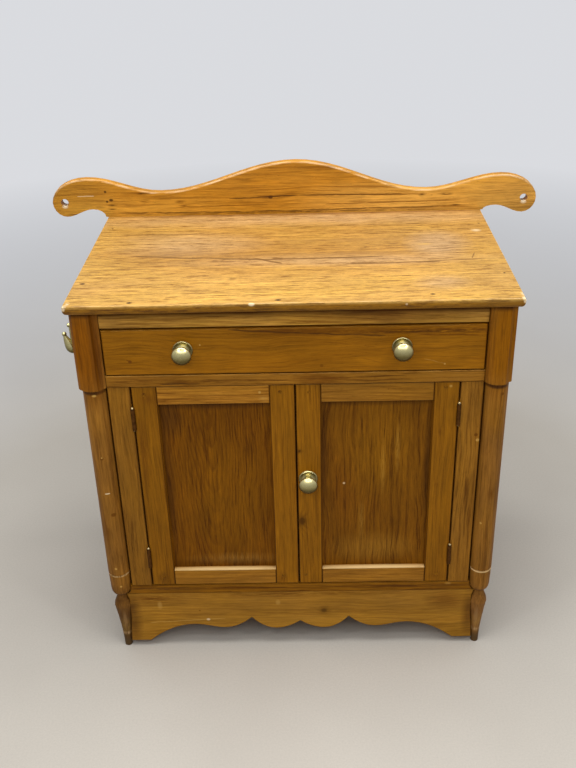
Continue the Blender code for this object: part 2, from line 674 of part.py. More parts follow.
def make_floor(posts, side_rails, front_rail, rear_rail):
    """Cupboard floor, notched round the posts, housed in the side rails and resting on both rails."""
    reach = SIDE_INNER + FLOOR_HOUSING
    low = (-reach, FLOOR_FRONT, FLOOR_BOTTOM)
    high = (reach, BACK_BOARD_FRONT - FIT, FLOOR_TOP)
    floor = block("cupboard_floor", low, high)
    for side in (-1, 1):
        notch = POST_REACH + FIT
        for y in (FRONT_POST_Y, REAR_POST_Y):
            centre = Vector((side * POST_X, y, (FLOOR_BOTTOM + FLOOR_TOP) / 2))
            size = Vector((notch, notch, FLOOR_THICKNESS))
            cut(floor, block("notch", centre - size, centre + size))
    let_in(low, high, *side_rails, front_rail, rear_rail)
    return floor


def make_runner(side):
    """L-section under and beside the drawer, fixed to the side's top rail."""
    hand = "right" if side > 0 else "left"
    guide = DRAWER_HALF_WIDTH + RUNNER_PLAY
    ledge = guide - RUNNER_LEDGE
    outer = SIDE_INNER - FIT
    top = DRAWER_BOTTOM - FIT
    outline = [(ledge, top - RUNNER_THICKNESS), (outer, top - RUNNER_THICKNESS), (outer, top + GUIDE_HEIGHT),
               (guide, top + GUIDE_HEIGHT), (guide, top), (ledge, top)]
    outline = [(side * x, z) for x, z in outline]
    return prism(f"{hand}_drawer_runner", outline, "Y", DIVIDER_BACK + FIT, REAR_SHOULDER_Y)


def dovetail(middle, root_y, grow):
    """Side view of one tail: it widens to the front."""
    tip_y = root_y - DOVETAIL_LENGTH - grow
    root = DOVETAIL_ROOT / 2 + grow
    tip = DOVETAIL_TIP / 2 + grow
    start = root_y + DRAWER_SIDE_THICKNESS
    return [(start, middle - root), (root_y, middle - root), (tip_y, middle - tip),
            (tip_y, middle + tip), (root_y, middle + root), (start, middle + root)]


def make_drawer():
    """Drawer box: half-blind dovetails at the front, back housed in the sides, bottom in grooves."""
    back_face = RAIL_FACE + DRAWER_FRONT_THICKNESS
    rear = BACK_BOARD_FRONT - DRAWER_BACK_GAP
    side_top = DRAWER_TOP - DRAWER_SIDE_DROP
    inner = DRAWER_HALF_WIDTH - DRAWER_SIDE_THICKNESS
    front = block("drawer_front", (-DRAWER_HALF_WIDTH, RAIL_FACE, DRAWER_BOTTOM),
                  (DRAWER_HALF_WIDTH, back_face, DRAWER_TOP))
    pitch = (side_top - DRAWER_BOTTOM) / DOVETAIL_COUNT
    sides = []
    for side in (-1, 1):
        hand = "right" if side > 0 else "left"
        low, high = mirrored((inner, back_face + FIT, DRAWER_BOTTOM),
                             (DRAWER_HALF_WIDTH, rear, side_top), side)
        board = block(f"drawer_{hand}_side", low, high)
        for number in range(DOVETAIL_COUNT):
            middle = DRAWER_BOTTOM + pitch * (number + 0.5)
            fuse(board, prism("tail", dovetail(middle, back_face, 0.0), "X", low[0], high[0]))
            past_end = side * DRAWER_SIDE_THICKNESS
            socket = sorted((side * (inner - FIT), side * DRAWER_HALF_WIDTH + past_end))
            cut(front, prism("socket", dovetail(middle, back_face, FIT), "X", *socket))
        sides.append(board)
    bottom_low = DRAWER_BOTTOM + DRAWER_BOTTOM_RISE
    bottom_high = bottom_low + DRAWER_BOTTOM_THICKNESS
    bottom_corner = (-inner - DRAWER_GROOVE, back_face - DRAWER_GROOVE, bottom_low)
    bottom_far = (inner + DRAWER_GROOVE, rear, bottom_high)
    bottom = block("drawer_bottom", bottom_corner, bottom_far)
    let_in(bottom_corner, bottom_far, front, *sides)
    back_x = inner + DRAWER_BACK_HOUSING
    back_y = rear - DRAWER_BACK_INSET
    back_low = (-back_x, back_y - DRAWER_SIDE_THICKNESS, bottom_high + FIT)
    back_high = (back_x, back_y, side_top - DRAWER_SIDE_DROP)
    back = block("drawer_back", back_low, back_high)
    let_in(back_low, back_high, *sides)
    return [front, *sides, bottom, back]


def knob_profile(start, base, base_thickness, spindle_end):
    """Spindle, optional base, neck and rounded head, measured from the face to the front."""
    head = KNOB_DIAMETER / 2
    neck = KNOB_NECK_DIAMETER / 2
    spindle = SPINDLE_DIAMETER / 2
    rim = KNOB_PROJECTION - KNOB_CROWN
    foot = [(spindle, start)]
    if base > 0:
        foot += [(base, start), (base, start + base_thickness / 2)]
        foot += [(base - base_thickness / 2, start + base_thickness)]
    foot.append((neck, start + base_thickness))
    opening = math.degrees(math.acos(neck / head))
    back = rounded_stretch(head, KNOB_BACK, 5, (0.0, rim), -opening, 0)
    crown = rounded_stretch(head, KNOB_CROWN, 6, (0.0, rim), 0, 90)
    return chain([(0.0, spindle_end), (spindle, spindle_end)], foot, back, crown)


def make_drawer_knobs(front):
    knobs = []
    for side in (-1, 1):
        hand = "right" if side > 0 else "left"
        x = DRAWER_KNOB_SHIFT + side * DRAWER_KNOB_SPACING / 2
        centre = (x, RAIL_FACE, DRAWER_KNOB_Z)
        profile = knob_profile(FIT, ROSE_DIAMETER / 2, ROSE_THICKNESS, -DRAWER_SPINDLE_LENGTH)
        knob = turned(f"drawer_{hand}_knob", profile, centre, KNOB_SIDES, "Y")
        set_smooth(knob)
        hole = SPINDLE_DIAMETER / 2 + FIT
        depth = DRAWER_SPINDLE_LENGTH + FIT
        cut(front, turned("hole", [(0, DRAWER_FRONT_THICKNESS), (hole, DRAWER_FRONT_THICKNESS),
                                   (hole, -depth), (0, -depth)], centre, KNOB_SIDES, "Y"))
        knobs.append(knob)
    return knobs


def make_door(side):
    """Two stiles, two tenoned rails and a flat panel in their grooves."""
    hand = "right" if side > 0 else "left"
    stile_inner = DOOR_INNER + STILE_WIDTH
    stile_outer = DOOR_OUTER - STILE_WIDTH
    groove_front = DOOR_FACE + DOOR_PANEL_RECESS
    groove_back = groove_front + DOOR_PANEL_THICKNESS
    pieces = {}
    spans = {"meeting_stile": (DOOR_INNER, stile_inner), "hinge_stile": (stile_outer, DOOR_OUTER)}
    for place, (near, far) in spans.items():
        low, high = mirrored((near, DOOR_FACE, DOOR_BOTTOM), (far, DOOR_BACK, DOOR_TOP), side)
        pieces[place] = block(f"{hand}_door_{place}", low, high)
    top_rail = DOOR_TOP - DOOR_TOP_RAIL_WIDTH
    bottom_rail = DOOR_BOTTOM + DOOR_BOTTOM_RAIL_WIDTH
    clear = PANEL_TONGUE + 2 * FIT
    rails = {"top_rail": (top_rail, DOOR_TOP, top_rail + clear, DOOR_TOP - DOOR_TENON_HAUNCH),
             "bottom_rail": (DOOR_BOTTOM, bottom_rail, DOOR_BOTTOM + DOOR_TENON_HAUNCH, bottom_rail - clear)}
    for place, (bottom, top, tenon_bottom, tenon_top) in rails.items():
        low, high = mirrored((stile_inner + FIT, DOOR_FACE, bottom),
                             (stile_outer - FIT, DOOR_BACK, top), side)
        tenon_low, tenon_high = mirrored((stile_inner - DOOR_TENON_LENGTH, groove_front, tenon_bottom),
                                         (stile_outer + DOOR_TENON_LENGTH, groove_back, tenon_top), side)
        pieces[place] = tenoned(f"{hand}_door_{place}", low, high, tenon_low, tenon_high)
        let_in(tenon_low, tenon_high, pieces["meeting_stile"], pieces["hinge_stile"])
    low, high = mirrored((stile_inner - PANEL_TONGUE, groove_front, bottom_rail - PANEL_TONGUE),
                         (stile_outer + PANEL_TONGUE, groove_back, top_rail + PANEL_TONGUE), side)
    let_in(low, high, *pieces.values())
    pieces["panel"] = block(f"{hand}_door_panel", low, high)
    return pieces


def knuckle(bottom, top, centre):
    outer = KNUCKLE_DIAMETER / 2
    bore = PIN_DIAMETER / 2 + FIT
    return turned("knuckle", [(bore, top), (outer, top), (outer, bottom), (bore, bottom)], centre,
                  HINGE_SIDES, closed=True)


def hinge_leaf(name, side, outward, centre, bands, bottom):
    """Plate let into an edge, with a tab and a knuckle at each of its bands along the pin."""
    near = LEAF_SPACING / 2
    far = near + LEAF_THICKNESS
    edges = sorted((centre[0] + side * outward * near, centre[0] + side * outward * far))
    clear = KNUCKLE_DIAMETER / 2 + 2 * FIT
    tab_y = HINGE_Y + PIN_DIAMETER / 2 + 3 * FIT
    high = (edges[1], HINGE_Y + LEAF_WIDTH, bottom + HINGE_LENGTH)
    leaf = block(name, (edges[0], HINGE_Y + clear, bottom), high)
    for start, end in bands:
        fuse(leaf, block("tab", (edges[0], tab_y, start), (edges[1], HINGE_Y + clear + FIT, end)))
        fuse(leaf, knuckle(start, end, centre))
    set_smooth(leaf)
    return leaf, (edges[0], tab_y, bottom), high


def hinge_pin(name, centre, bottom):
    """Pin with a ball at its top and a small button at its foot."""
    radius = PIN_DIAMETER / 2
    ball = PIN_BALL_DIAMETER / 2
    top = bottom + HINGE_LENGTH + FIT
    foot = bottom - FIT
    head = rounded_stretch(ball, ball, 6, (0.0, top + ball * 0.8), 90, -50)
    button = [(ball * 0.8, foot), (ball * 0.8, foot - radius * 0.6), (0.0, foot - radius)]
    pin = turned(name, chain(head, [(radius, top), (radius, foot)], button), centre, HINGE_SIDES)
    set_smooth(pin)
    return pin


def make_hinge(side, level, bottom, jamb, stile):
    """Butt hinge: two knuckles on the jamb leaf, one between them on the door leaf, and a pin."""
    hand = "right" if side > 0 else "left"
    name = f"{hand}_{level}_hinge"
    centre = (side * HINGE_X, HINGE_Y, 0.0)
    third = HINGE_LENGTH / 3
    low_band = (bottom, bottom + third - FIT)
    middle_band = (bottom + third, bottom + 2 * third)
    high_band = (bottom + 2 * third + FIT, bottom + HINGE_LENGTH)
    jamb_leaf, low, high = hinge_leaf(f"{name}_jamb_leaf", side, 1, centre, (low_band, high_band), bottom)
    let_in(low, high, jamb)
    door_leaf, low, high = hinge_leaf(f"{name}_door_leaf", side, -1, centre, (middle_band,), bottom)
    let_in(low, high, stile)
    gain = KNUCKLE_DIAMETER / 2 + 2 * FIT
    gain_low = bottom - PIN_BALL_DIAMETER
    gain_high = bottom + HINGE_LENGTH + 2 * PIN_BALL_DIAMETER
    for host in (jamb, stile):
        cut(host, turned("gain", [(0, gain_high), (gain, gain_high), (gain, gain_low), (0, gain_low)],
                         centre, 2 * HINGE_SIDES))
    return jamb_leaf, door_leaf, hinge_pin(f"{name}_pin", centre, bottom)


def make_latch(stile):
    """Knob and spindle through the right meeting stile, its rose, and the bar that hangs behind."""
    centre = (DOOR_KNOB_X, DOOR_FACE, DOOR_KNOB_HEIGHT)
    bar_front = DOOR_BACK + LATCH_BAR_GAP
    bar_back = bar_front + LATCH_BAR_THICKNESS
    spindle = SPINDLE_DIAMETER / 2
    hole = spindle + FIT
    spindle_end = -(DOOR_THICKNESS + LATCH_BAR_GAP + 2 * LATCH_BAR_THICKNESS)
    profile = knob_profile(ROSE_THICKNESS + 2 * FIT, 0.0, 0.0, spindle_end)
    knob = turned("right_door_knob", profile, centre, KNOB_SIDES, "Y")
    rim = ROSE_DIAMETER / 2
    rose_top = FIT + ROSE_THICKNESS
    rose_section = [(hole, rose_top), (rim - ROSE_THICKNESS / 2, rose_top),
                    (rim, rose_top - ROSE_THICKNESS / 2), (rim, FIT), (hole, FIT)]
    rose = turned("right_door_knob_rose", rose_section, centre, KNOB_SIDES, "Y", closed=True)
    ahead = DOOR_THICKNESS
    behind = -2 * DOOR_THICKNESS
    drill = [(0, ahead), (hole, ahead), (hole, behind), (0, behind)]
    cut(stile, turned("hole", drill, centre, KNOB_SIDES, "Y"))
    half = LATCH_BAR_WIDTH / 2
    upper = rounded_stretch(half, half, 8, (DOOR_KNOB_X, DOOR_KNOB_HEIGHT), 0, 180)
    bar_foot = DOOR_KNOB_HEIGHT + half - LATCH_BAR_LENGTH
    lower = rounded_stretch(half, half, 8, (DOOR_KNOB_X, bar_foot), 180, 360)
    bar = prism("right_door_latch_bar", chain(upper, lower), "Y", bar_front, bar_back)
    cut(bar, turned("hole", drill, centre, KNOB_SIDES, "Y"))
    for piece in (knob, rose):
        set_smooth(piece)
    return knob, rose, bar


def make_bolt(divider):
    """Upright bolt on the back of the left meeting stile, running in a plate with two straps."""
    plate_front = DOOR_BACK + FIT
    plate_back = plate_front + BOLT_PLATE_THICKNESS
    front = plate_back + FIT
    back = front + BOLT_THICKNESS
    top = DOOR_TOP - BOLT_DROP
    bottom = top - BOLT_LENGTH
    half = BOLT_WIDTH / 2
    bolt = block("left_door_bolt", (BOLT_X - half, front, bottom), (BOLT_X + half, back, top))
    stud_z = (top + bottom) / 2
    stud = [(0, BOLT_THICKNESS / 2), (half * 0.7, BOLT_THICKNESS / 2), (half * 0.7, -BOLT_STUD_LENGTH),
            (0, -BOLT_STUD_LENGTH)]
    fuse(bolt, turned("stud", stud, (BOLT_X, back, stud_z), 12, "Y"))
    plate_half = BOLT_PLATE_WIDTH / 2
    plate_low = bottom + FIT
    plate_high = top - BOLT_STRAP_HEIGHT / 2
    plate = block("left_door_bolt_plate", (BOLT_X - plate_half, plate_front, plate_low),
                  (BOLT_X + plate_half, plate_back, plate_high))
    strap_half = half + FIT + BOLT_STRAP_WALL
    for strap_z in (plate_low, plate_high - BOLT_STRAP_HEIGHT):
        fuse(plate, block("strap", (BOLT_X - strap_half, plate_front + FIT, strap_z),
                          (BOLT_X + strap_half, back + FIT + BOLT_STRAP_WALL, strap_z + BOLT_STRAP_HEIGHT)))
    path_low = (BOLT_X - half, front, bottom - BOLT_STRAP_HEIGHT)
    path_high = (BOLT_X + half, back, top + BOLT_TRAVEL)
    let_in(path_low, path_high, plate, divider)
    return bolt, plate


def make_towel_hook():
    """Plate on the left face of the front left post, with an arm that sweeps out and up to a ball."""
    face = -POST_X - POST_SQUARE / 2 - FIT
    outer = face - HOOK_PLATE_THICKNESS
    top = CARCASS_TOP - HOOK_TOP_DROP
    half = HOOK_PLATE_WIDTH / 2
    upper = rounded_stretch(half, half, 8, (FRONT_POST_Y, top - half), 0, 180)
    lower = rounded_stretch(half, half, 8, (FRONT_POST_Y, top - HOOK_PLATE_HEIGHT + half), 180, 360)
    hook = prism("towel_hook", chain(upper, lower), "X", outer, face)
    foot = top - HOOK_PLATE_HEIGHT
    radius = HOOK_ARM_DIAMETER / 2
    tip = (outer - HOOK_REACH, FRONT_POST_Y, foot + HOOK_TIP_RISE)
    curve = bpy.data.curves.new("arm", "CURVE")
    curve.dimensions = "3D"
    curve.bevel_depth = radius
    curve.bevel_resolution = 2
    curve.resolution_u = 8
    curve.use_fill_caps = True
    spline = curve.splines.new("BEZIER")
    spline.bezier_points.add(1)
    start = Vector(((outer + face) / 2, FRONT_POST_Y, foot + half * 0.6))
    ends = ((start, Vector((-HOOK_REACH, 0, -half))), (Vector(tip), Vector((0, 0, HOOK_TIP_RISE / 2))))
    for point, (place, lean) in zip(spline.bezier_points, ends):
        point.co = place
        point.handle_left = place - lean
        point.handle_right = place + lean
    holder = bpy.data.objects.new("arm", curve)
    bpy.context.collection.objects.link(holder)
    depsgraph = bpy.context.evaluated_depsgraph_get()
    bm = bmesh.new()
    bm.from_mesh(holder.evaluated_get(depsgraph).to_mesh())
    bpy.data.objects.remove(holder, do_unlink=True)
    bmesh.ops.remove_doubles(bm, verts=bm.verts, dist=0.00001)
    fuse(hook, solid("arm", bm))
    ball = HOOK_BALL_DIAMETER / 2
    fuse(hook, turned("ball", rounded_stretch(ball, ball, 8, (0.0, 0.0), 90, -90), tip, 16))
    set_smooth(hook)
    return hook


def carry(name, place, pieces):
    """Parent pieces to an empty on their joint's axis, leaving them where they are."""
    empty = bpy.data.objects.new(name, None)
    empty.location = place
    bpy.context.collection.objects.link(empty)
    for piece in pieces:
        piece.parent = empty
        piece.matrix_parent_inverse = Matrix.Translation(-Vector(place))
    return empty


def finish(finishes):
    for finish_material, pieces in finishes:
        for piece in pieces:
            piece.data.materials.clear()
            piece.data.materials.append(finish_material)


def build():
    clear_scene()
    top_pine = material("top_pine", (0.46, 0.23, 0.07), 0.45)
    frame_pine = material("frame_pine", (0.30, 0.13, 0.03), 0.42)
    panel_pine = material("panel_pine", (0.19, 0.075, 0.016), 0.48)
    inner_pine = material("inner_pine", (0.36, 0.19, 0.07), 0.7)
    brass = material("brass", (0.72, 0.58, 0.36), 0.3, 1.0)
    dark_brass = material("dark_brass", (0.12, 0.08, 0.04), 0.45, 1.0)

    posts = make_posts()
    top_board = make_top_board()
    splashback = make_splashback(top_board)
    rails = make_front_rails(posts)
    jambs = {side: make_jamb(side, rails) for side in (-1, 1)}
    apron = make_apron(posts)
    left_side = make_side(-1, posts)
    right_side = make_side(1, posts)
    back = make_back(posts)
    floor = make_floor(posts, (left_side[1], right_side[1]),
                       rails["bottom_front_rail"], back["rear_bottom_rail"])
    runners = [make_runner(side) for side in (-1, 1)]
    drawer = make_drawer()
    drawer_knobs = make_drawer_knobs(drawer[0])
    doors = {side: make_door(side) for side in (-1, 1)}
    hinges = []
    for side in (-1, 1):
        hosts = (jambs[side], doors[side]["hinge_stile"])
        upper = DOOR_TOP - HINGE_INSET_TOP - HINGE_LENGTH
        lower = DOOR_BOTTOM + HINGE_INSET_BOTTOM
        for level, bottom in (("upper", upper), ("lower", lower)):
            hinges.append((side, make_hinge(side, level, bottom, *hosts)))
    knob, rose, latch_bar = make_latch(doors[1]["meeting_stile"])
    bolt, bolt_plate = make_bolt(rails["drawer_divider_rail"])
    hook = make_towel_hook()

    door_leaves = {side: [leaves[1] for where, leaves in hinges if where == side] for side in (-1, 1)}
    carry("drawer_slide", (0.0, RAIL_FACE, DRAWER_BOTTOM), drawer + drawer_knobs)
    left_door = carry("left_door_swing", (-HINGE_X, HINGE_Y, DOOR_BOTTOM),
                      [*doors[-1].values(), *door_leaves[-1], bolt_plate])
    right_door = carry("right_door_swing", (HINGE_X, HINGE_Y, DOOR_BOTTOM),
                       [*doors[1].values(), *door_leaves[1], rose])
    latch = carry("latch_turn", (DOOR_KNOB_X, DOOR_FACE, DOOR_KNOB_HEIGHT), [knob, latch_bar])
    bolt_slide = carry("bolt_slide", (BOLT_X, DOOR_BACK, DOOR_TOP), [bolt])
    for child, parent in ((latch, right_door), (bolt_slide, left_door)):
        child.parent = parent
        child.matrix_parent_inverse = Matrix.Translation(-parent.location)

    panels = [doors[-1]["panel"], doors[1]["panel"], left_side[2], right_side[2]]
    frames = [*posts.values(), splashback, *rails.values(), *jambs.values(), apron, drawer[0]]
    frames += [*left_side[:2], *right_side[:2]]
    frames += [piece for door in doors.values() for place, piece in door.items() if place != "panel"]
    metal = [leaf for where, leaves in hinges for leaf in leaves]
    finish(((top_pine, [top_board]), (frame_pine, frames), (panel_pine, panels),
            (inner_pine, [*back.values(), floor, *runners, *drawer[1:]]),
            (brass, [*drawer_knobs, knob, rose, hook]), (dark_brass, [*metal, latch_bar, bolt, bolt_plate])))


build()
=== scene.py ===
import json
import math

import bmesh
import bpy
from mathutils import Matrix, Vector


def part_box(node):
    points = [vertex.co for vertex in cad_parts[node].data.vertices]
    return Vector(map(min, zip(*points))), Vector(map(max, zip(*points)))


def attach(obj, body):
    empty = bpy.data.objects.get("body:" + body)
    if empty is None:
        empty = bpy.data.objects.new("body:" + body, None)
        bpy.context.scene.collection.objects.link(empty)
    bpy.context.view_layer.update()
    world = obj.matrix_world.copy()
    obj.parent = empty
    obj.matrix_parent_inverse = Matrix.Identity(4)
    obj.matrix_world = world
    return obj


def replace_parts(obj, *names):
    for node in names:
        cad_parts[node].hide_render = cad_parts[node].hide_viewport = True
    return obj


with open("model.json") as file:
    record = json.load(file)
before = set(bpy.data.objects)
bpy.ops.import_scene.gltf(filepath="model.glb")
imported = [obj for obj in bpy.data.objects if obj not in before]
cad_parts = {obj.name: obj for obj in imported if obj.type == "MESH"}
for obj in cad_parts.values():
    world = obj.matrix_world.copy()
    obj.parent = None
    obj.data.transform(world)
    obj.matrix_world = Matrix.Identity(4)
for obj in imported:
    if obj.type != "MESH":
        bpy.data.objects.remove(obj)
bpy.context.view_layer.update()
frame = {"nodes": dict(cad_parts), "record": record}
nodes = frame["nodes"]
record = frame["record"]
body_of_node = {node: body for body, members in record["behaviour"]["bodies"].items() for node in members}
slot_of_node = {row["node"]: row["material_slot"] for row in record["subparts"]}
HANDS = (("left", -1), ("right", 1))


def put_in(name, data):
    """A new object in the scene."""
    thing = bpy.data.objects.new(name, data)
    bpy.context.scene.collection.objects.link(thing)
    return thing


def made_of(name, bm):
    """A new object of a finished mesh."""
    mesh = bpy.data.meshes.new(name)
    bm.to_mesh(mesh)
    bm.free()
    return put_in(name, mesh)


# Camera, as it stood for the photograph

CAMERA_PLACE = (0.02075, -1.69095, 1.4052)
CAMERA_PITCH = 28.458
CAMERA_YAW = -1.2575
CAMERA_ROLL = -1.5717
CAMERA_LENS = 45.49
SENSOR = 36.0


def make_camera():
    pitch, yaw, roll = (math.radians(a) for a in (CAMERA_PITCH, CAMERA_YAW, CAMERA_ROLL))
    ahead = Vector((math.sin(yaw) * math.cos(pitch), math.cos(yaw) * math.cos(pitch), -math.sin(pitch)))
    level = Vector((math.cos(yaw), -math.sin(yaw), 0.0))
    upright = level.cross(ahead)
    right = level * math.cos(roll) + upright * math.sin(roll)
    up = upright * math.cos(roll) - level * math.sin(roll)
    data = bpy.data.cameras.new("camera")
    data.sensor_fit = "VERTICAL"
    data.sensor_height = SENSOR
    data.lens = CAMERA_LENS
    data.clip_start = 0.05
    camera = put_in("camera", data)
    turn = Matrix((right, up, -ahead)).transposed().to_4x4()
    camera.matrix_world = Matrix.Translation(CAMERA_PLACE) @ turn
    bpy.context.scene.camera = camera


# Node graphs of the materials and the world


class Graph:
    """A node tree, with short calls for the nodes that are used here."""

    def __init__(self, owner):
        owner.use_nodes = True
        self.tree = owner.node_tree
        self.tree.nodes.clear()

    def put(self, socket, value):
        if isinstance(value, bpy.types.NodeSocket):
            self.tree.links.new(value, socket)
        else:
            socket.default_value = value

    def node(self, kind, *values, **settings):
        """A new node with its settings, and with values or links in its first sockets."""
        node = self.tree.nodes.new("ShaderNode" + kind)
        for setting, value in settings.items():
            setattr(node, setting, value)
        for socket, value in zip(node.inputs, values):
            self.put(socket, value)
        return node

    def math(self, kind, a, b=0.0, c=0.0, clamp=False):
        return self.node("Math", a, b, c, operation=kind, use_clamp=clamp).outputs[0]

    def times(self, value, *others):
        for other in others:
            value = self.math("MULTIPLY", value, other)
        return value

    def vector(self, kind, a, b=(0, 0, 0), scale=None):
        node = self.node("VectorMath", a, b, operation=kind)
        if scale is not None:
            self.put(node.inputs["Scale"], scale)
        return node.outputs["Value" if kind in ("LENGTH", "DOT_PRODUCT") else 0]

    def split(self, vector):
        return self.node("SeparateXYZ", vector).outputs

    def join(self, x, y, z):
        return self.node("CombineXYZ", x, y, z).outputs[0]

    def noise(self, vector, wide, long, detail=2.0, rough=0.5):
        """Noise from 0 to 1 of a vector, with one scale on its first two axes and another on the third."""
        node = self.node("TexNoise")
        node.inputs["Scale"].default_value = 1.0
        node.inputs["Detail"].default_value = detail
        node.inputs["Roughness"].default_value = rough
        self.put(node.inputs["Vector"], self.vector("MULTIPLY", vector, (wide, wide, long)))
        return node.outputs["Fac"]

    def ramp(self, value, stops):
        node = self.node("ValToRGB", value)
        elements = node.color_ramp.elements
        while len(elements) < len(stops):
            elements.new(0.5)
        for element, (place, shade) in zip(elements, stops):
            element.position = place
            element.color = (shade, shade, shade, 1.0)
        return node.outputs[0]

    def remap(self, value, low, high, to_low=0.0, to_high=1.0):
        return self.node("MapRange", value, low, high, to_low, to_high).outputs[0]

    def mix(self, share, a, b):
        node = self.node("Mix", share, data_type="RGBA")
        for socket, value in zip(node.inputs[6:8], (a, b)):
            self.put(socket, (*value, 1.0) if isinstance(value, tuple) else value)
        return node.outputs[2]

    def place(self):
        return self.node("TexCoord").outputs["Object"]

    def upward(self, normal="True Normal"):
        """How far the surface faces up, from -1 to 1."""
        return self.split(self.node("NewGeometry").outputs[normal])[2]

    def arris(self):
        """1 on the rounded edges of a softened piece and 0 on its flats."""
        return self.node("Attribute", attribute_name="arris").outputs["Fac"]

    def seen(self):
        """1 for what the camera sees or a surface mirrors, and 0 for light."""
        rays = self.node("LightPath").outputs
        seen = self.math("MAXIMUM", rays["Is Camera Ray"], rays["Is Glossy Ray"])
        return self.math("MAXIMUM", seen, rays["Is Transmission Ray"])


class Material(Graph):
    """A material with one shader."""

    def __init__(self, name):
        self.material = bpy.data.materials.new(name)
        super().__init__(self.material)
        self.shader = self.node("BsdfPrincipled")
        self.output = self.node("OutputMaterial", self.shader.outputs[0])

    def give(self, **values):
        """Set the shader's sockets, by their names with underlines for spaces."""
        for socket, value in values.items():
            self.put(self.shader.inputs[socket.replace("_", " ")], value)

    def bump(self, height, distance, strength=1.0):
        node = self.node("Bump")
        node.inputs["Strength"].default_value = strength
        node.inputs["Distance"].default_value = distance
        self.put(node.inputs["Height"], height)
        self.give(Normal=node.outputs[0])

    def fade_to(self, share, shade):
        """Show a shade of its own where the share is 1, but not to the light."""
        glow = self.node("Emission", (*shade, 1.0))
        share = self.times(self.seen(), share)
        blend = self.node("MixShader", share, self.shader.outputs[0], glow.outputs[0])
        self.put(self.output.inputs[0], blend.outputs[0])


def spot(graph, place, centre, radii, soft=0.5):
    """1 inside an ellipsoid that fades over the outer share of its radius."""
    offset = graph.vector("SUBTRACT", place, centre)
    far = graph.vector("LENGTH", graph.vector("DIVIDE", offset, radii))
    return graph.remap(far, 1.0, 1.0 - soft)


def stroke(graph, place, start, end, width):
    """1 on a thin straight line between two points, thinner towards its ends."""
    line = Vector(end) - Vector(start)
    offset = graph.vector("SUBTRACT", place, tuple(start))
    share = graph.vector("DOT_PRODUCT", offset, tuple(line / line.length_squared))
    share = graph.math("MINIMUM", graph.math("MAXIMUM", share, 0.0), 1.0)
    foot = graph.vector("SCALE", tuple(line), scale=share)
    far = graph.vector("LENGTH", graph.vector("SUBTRACT", offset, foot))
    ends = graph.times(share, graph.math("SUBTRACT", 1.0, share))
    taper = graph.remap(ends, 0.0, 0.09, 0.35 * width, width)
    return graph.remap(graph.math("DIVIDE", far, taper), 1.0, 0.3)


# Wood

MM = 0.001
# Kinds of marks, told apart by how soft their edge is: a smear's is ragged, and a tinge lies under the grain
DOT, LINE, WASH, TINGE, SMEAR = 0.45, 0.5, 0.6, 0.75, 0.9
LENGTHWISE = {"X": (2, 1, 0), "Y": (2, 0, 1), "Z": (0, 1, 2)}

# Light wood, dark ring, tint of the blotches and worn edge of each finish; the worn edge also serves as a
# painted highlight on arrises that face up
FINISHES = {
    "top": ((0.60, 0.340, 0.064), (0.40, 0.190, 0.026), (0.50, 0.275, 0.075), (0.80, 0.60, 0.34)),
    "splash": ((0.53, 0.235, 0.017), (0.33, 0.120, 0.006), (0.45, 0.20, 0.022), (0.80, 0.58, 0.34)),
    "frame": ((0.405, 0.158, 0.0045), (0.25, 0.082, 0.002), (0.33, 0.128, 0.006), (0.56, 0.30, 0.07)),
    "panel": ((0.285, 0.106, 0.0035), (0.175, 0.055, 0.002), (0.225, 0.082, 0.004), (0.40, 0.20, 0.06)),
    "inner": ((0.46, 0.285, 0.130), (0.30, 0.165, 0.065), (0.36, 0.21, 0.095), (0.55, 0.38, 0.21)),
}
# Shade across one ring, from the pale early wood to the dark late wood
RING_SHADES = ((0.0, 0.05), (0.40, 0.18), (0.74, 0.78), (0.88, 1.0), (0.97, 0.35), (1.0, 0.05))
# What the dark and the pale threads of the grain make of the colour
DARK_THREAD = (0.46, 0.38, 0.26)
PALE_THREAD = (1.32, 1.40, 1.60)
GRAIN_DEPTH = 0.0003
# How far a drawn line strays from its straight course
DRIFT = 0.003
# Shade of a knot from its middle outwards
KNOT_SHADES = ((0.0, 1.0), (0.20, 0.95), (0.30, 0.55), (0.45, 0.25), (0.8, 0.0))
SHEEN = {"top": 0.22, "splash": 0.16, "frame": 0.08, "panel": 0.07, "inner": 0.15}
# What a finish is multiplied by, channel by channel
WARM = (1.0, 1.0, 1.0)
DUSTY = (0.98, 1.07, 3.0)
ASHEN = (0.98, 1.28, 6.0)
WEATHERED = (1.0, 1.09, 4.5)
RUDDY = (1.0, 0.94, 0.55)
SALLOW = (0.98, 1.17, 3.7)


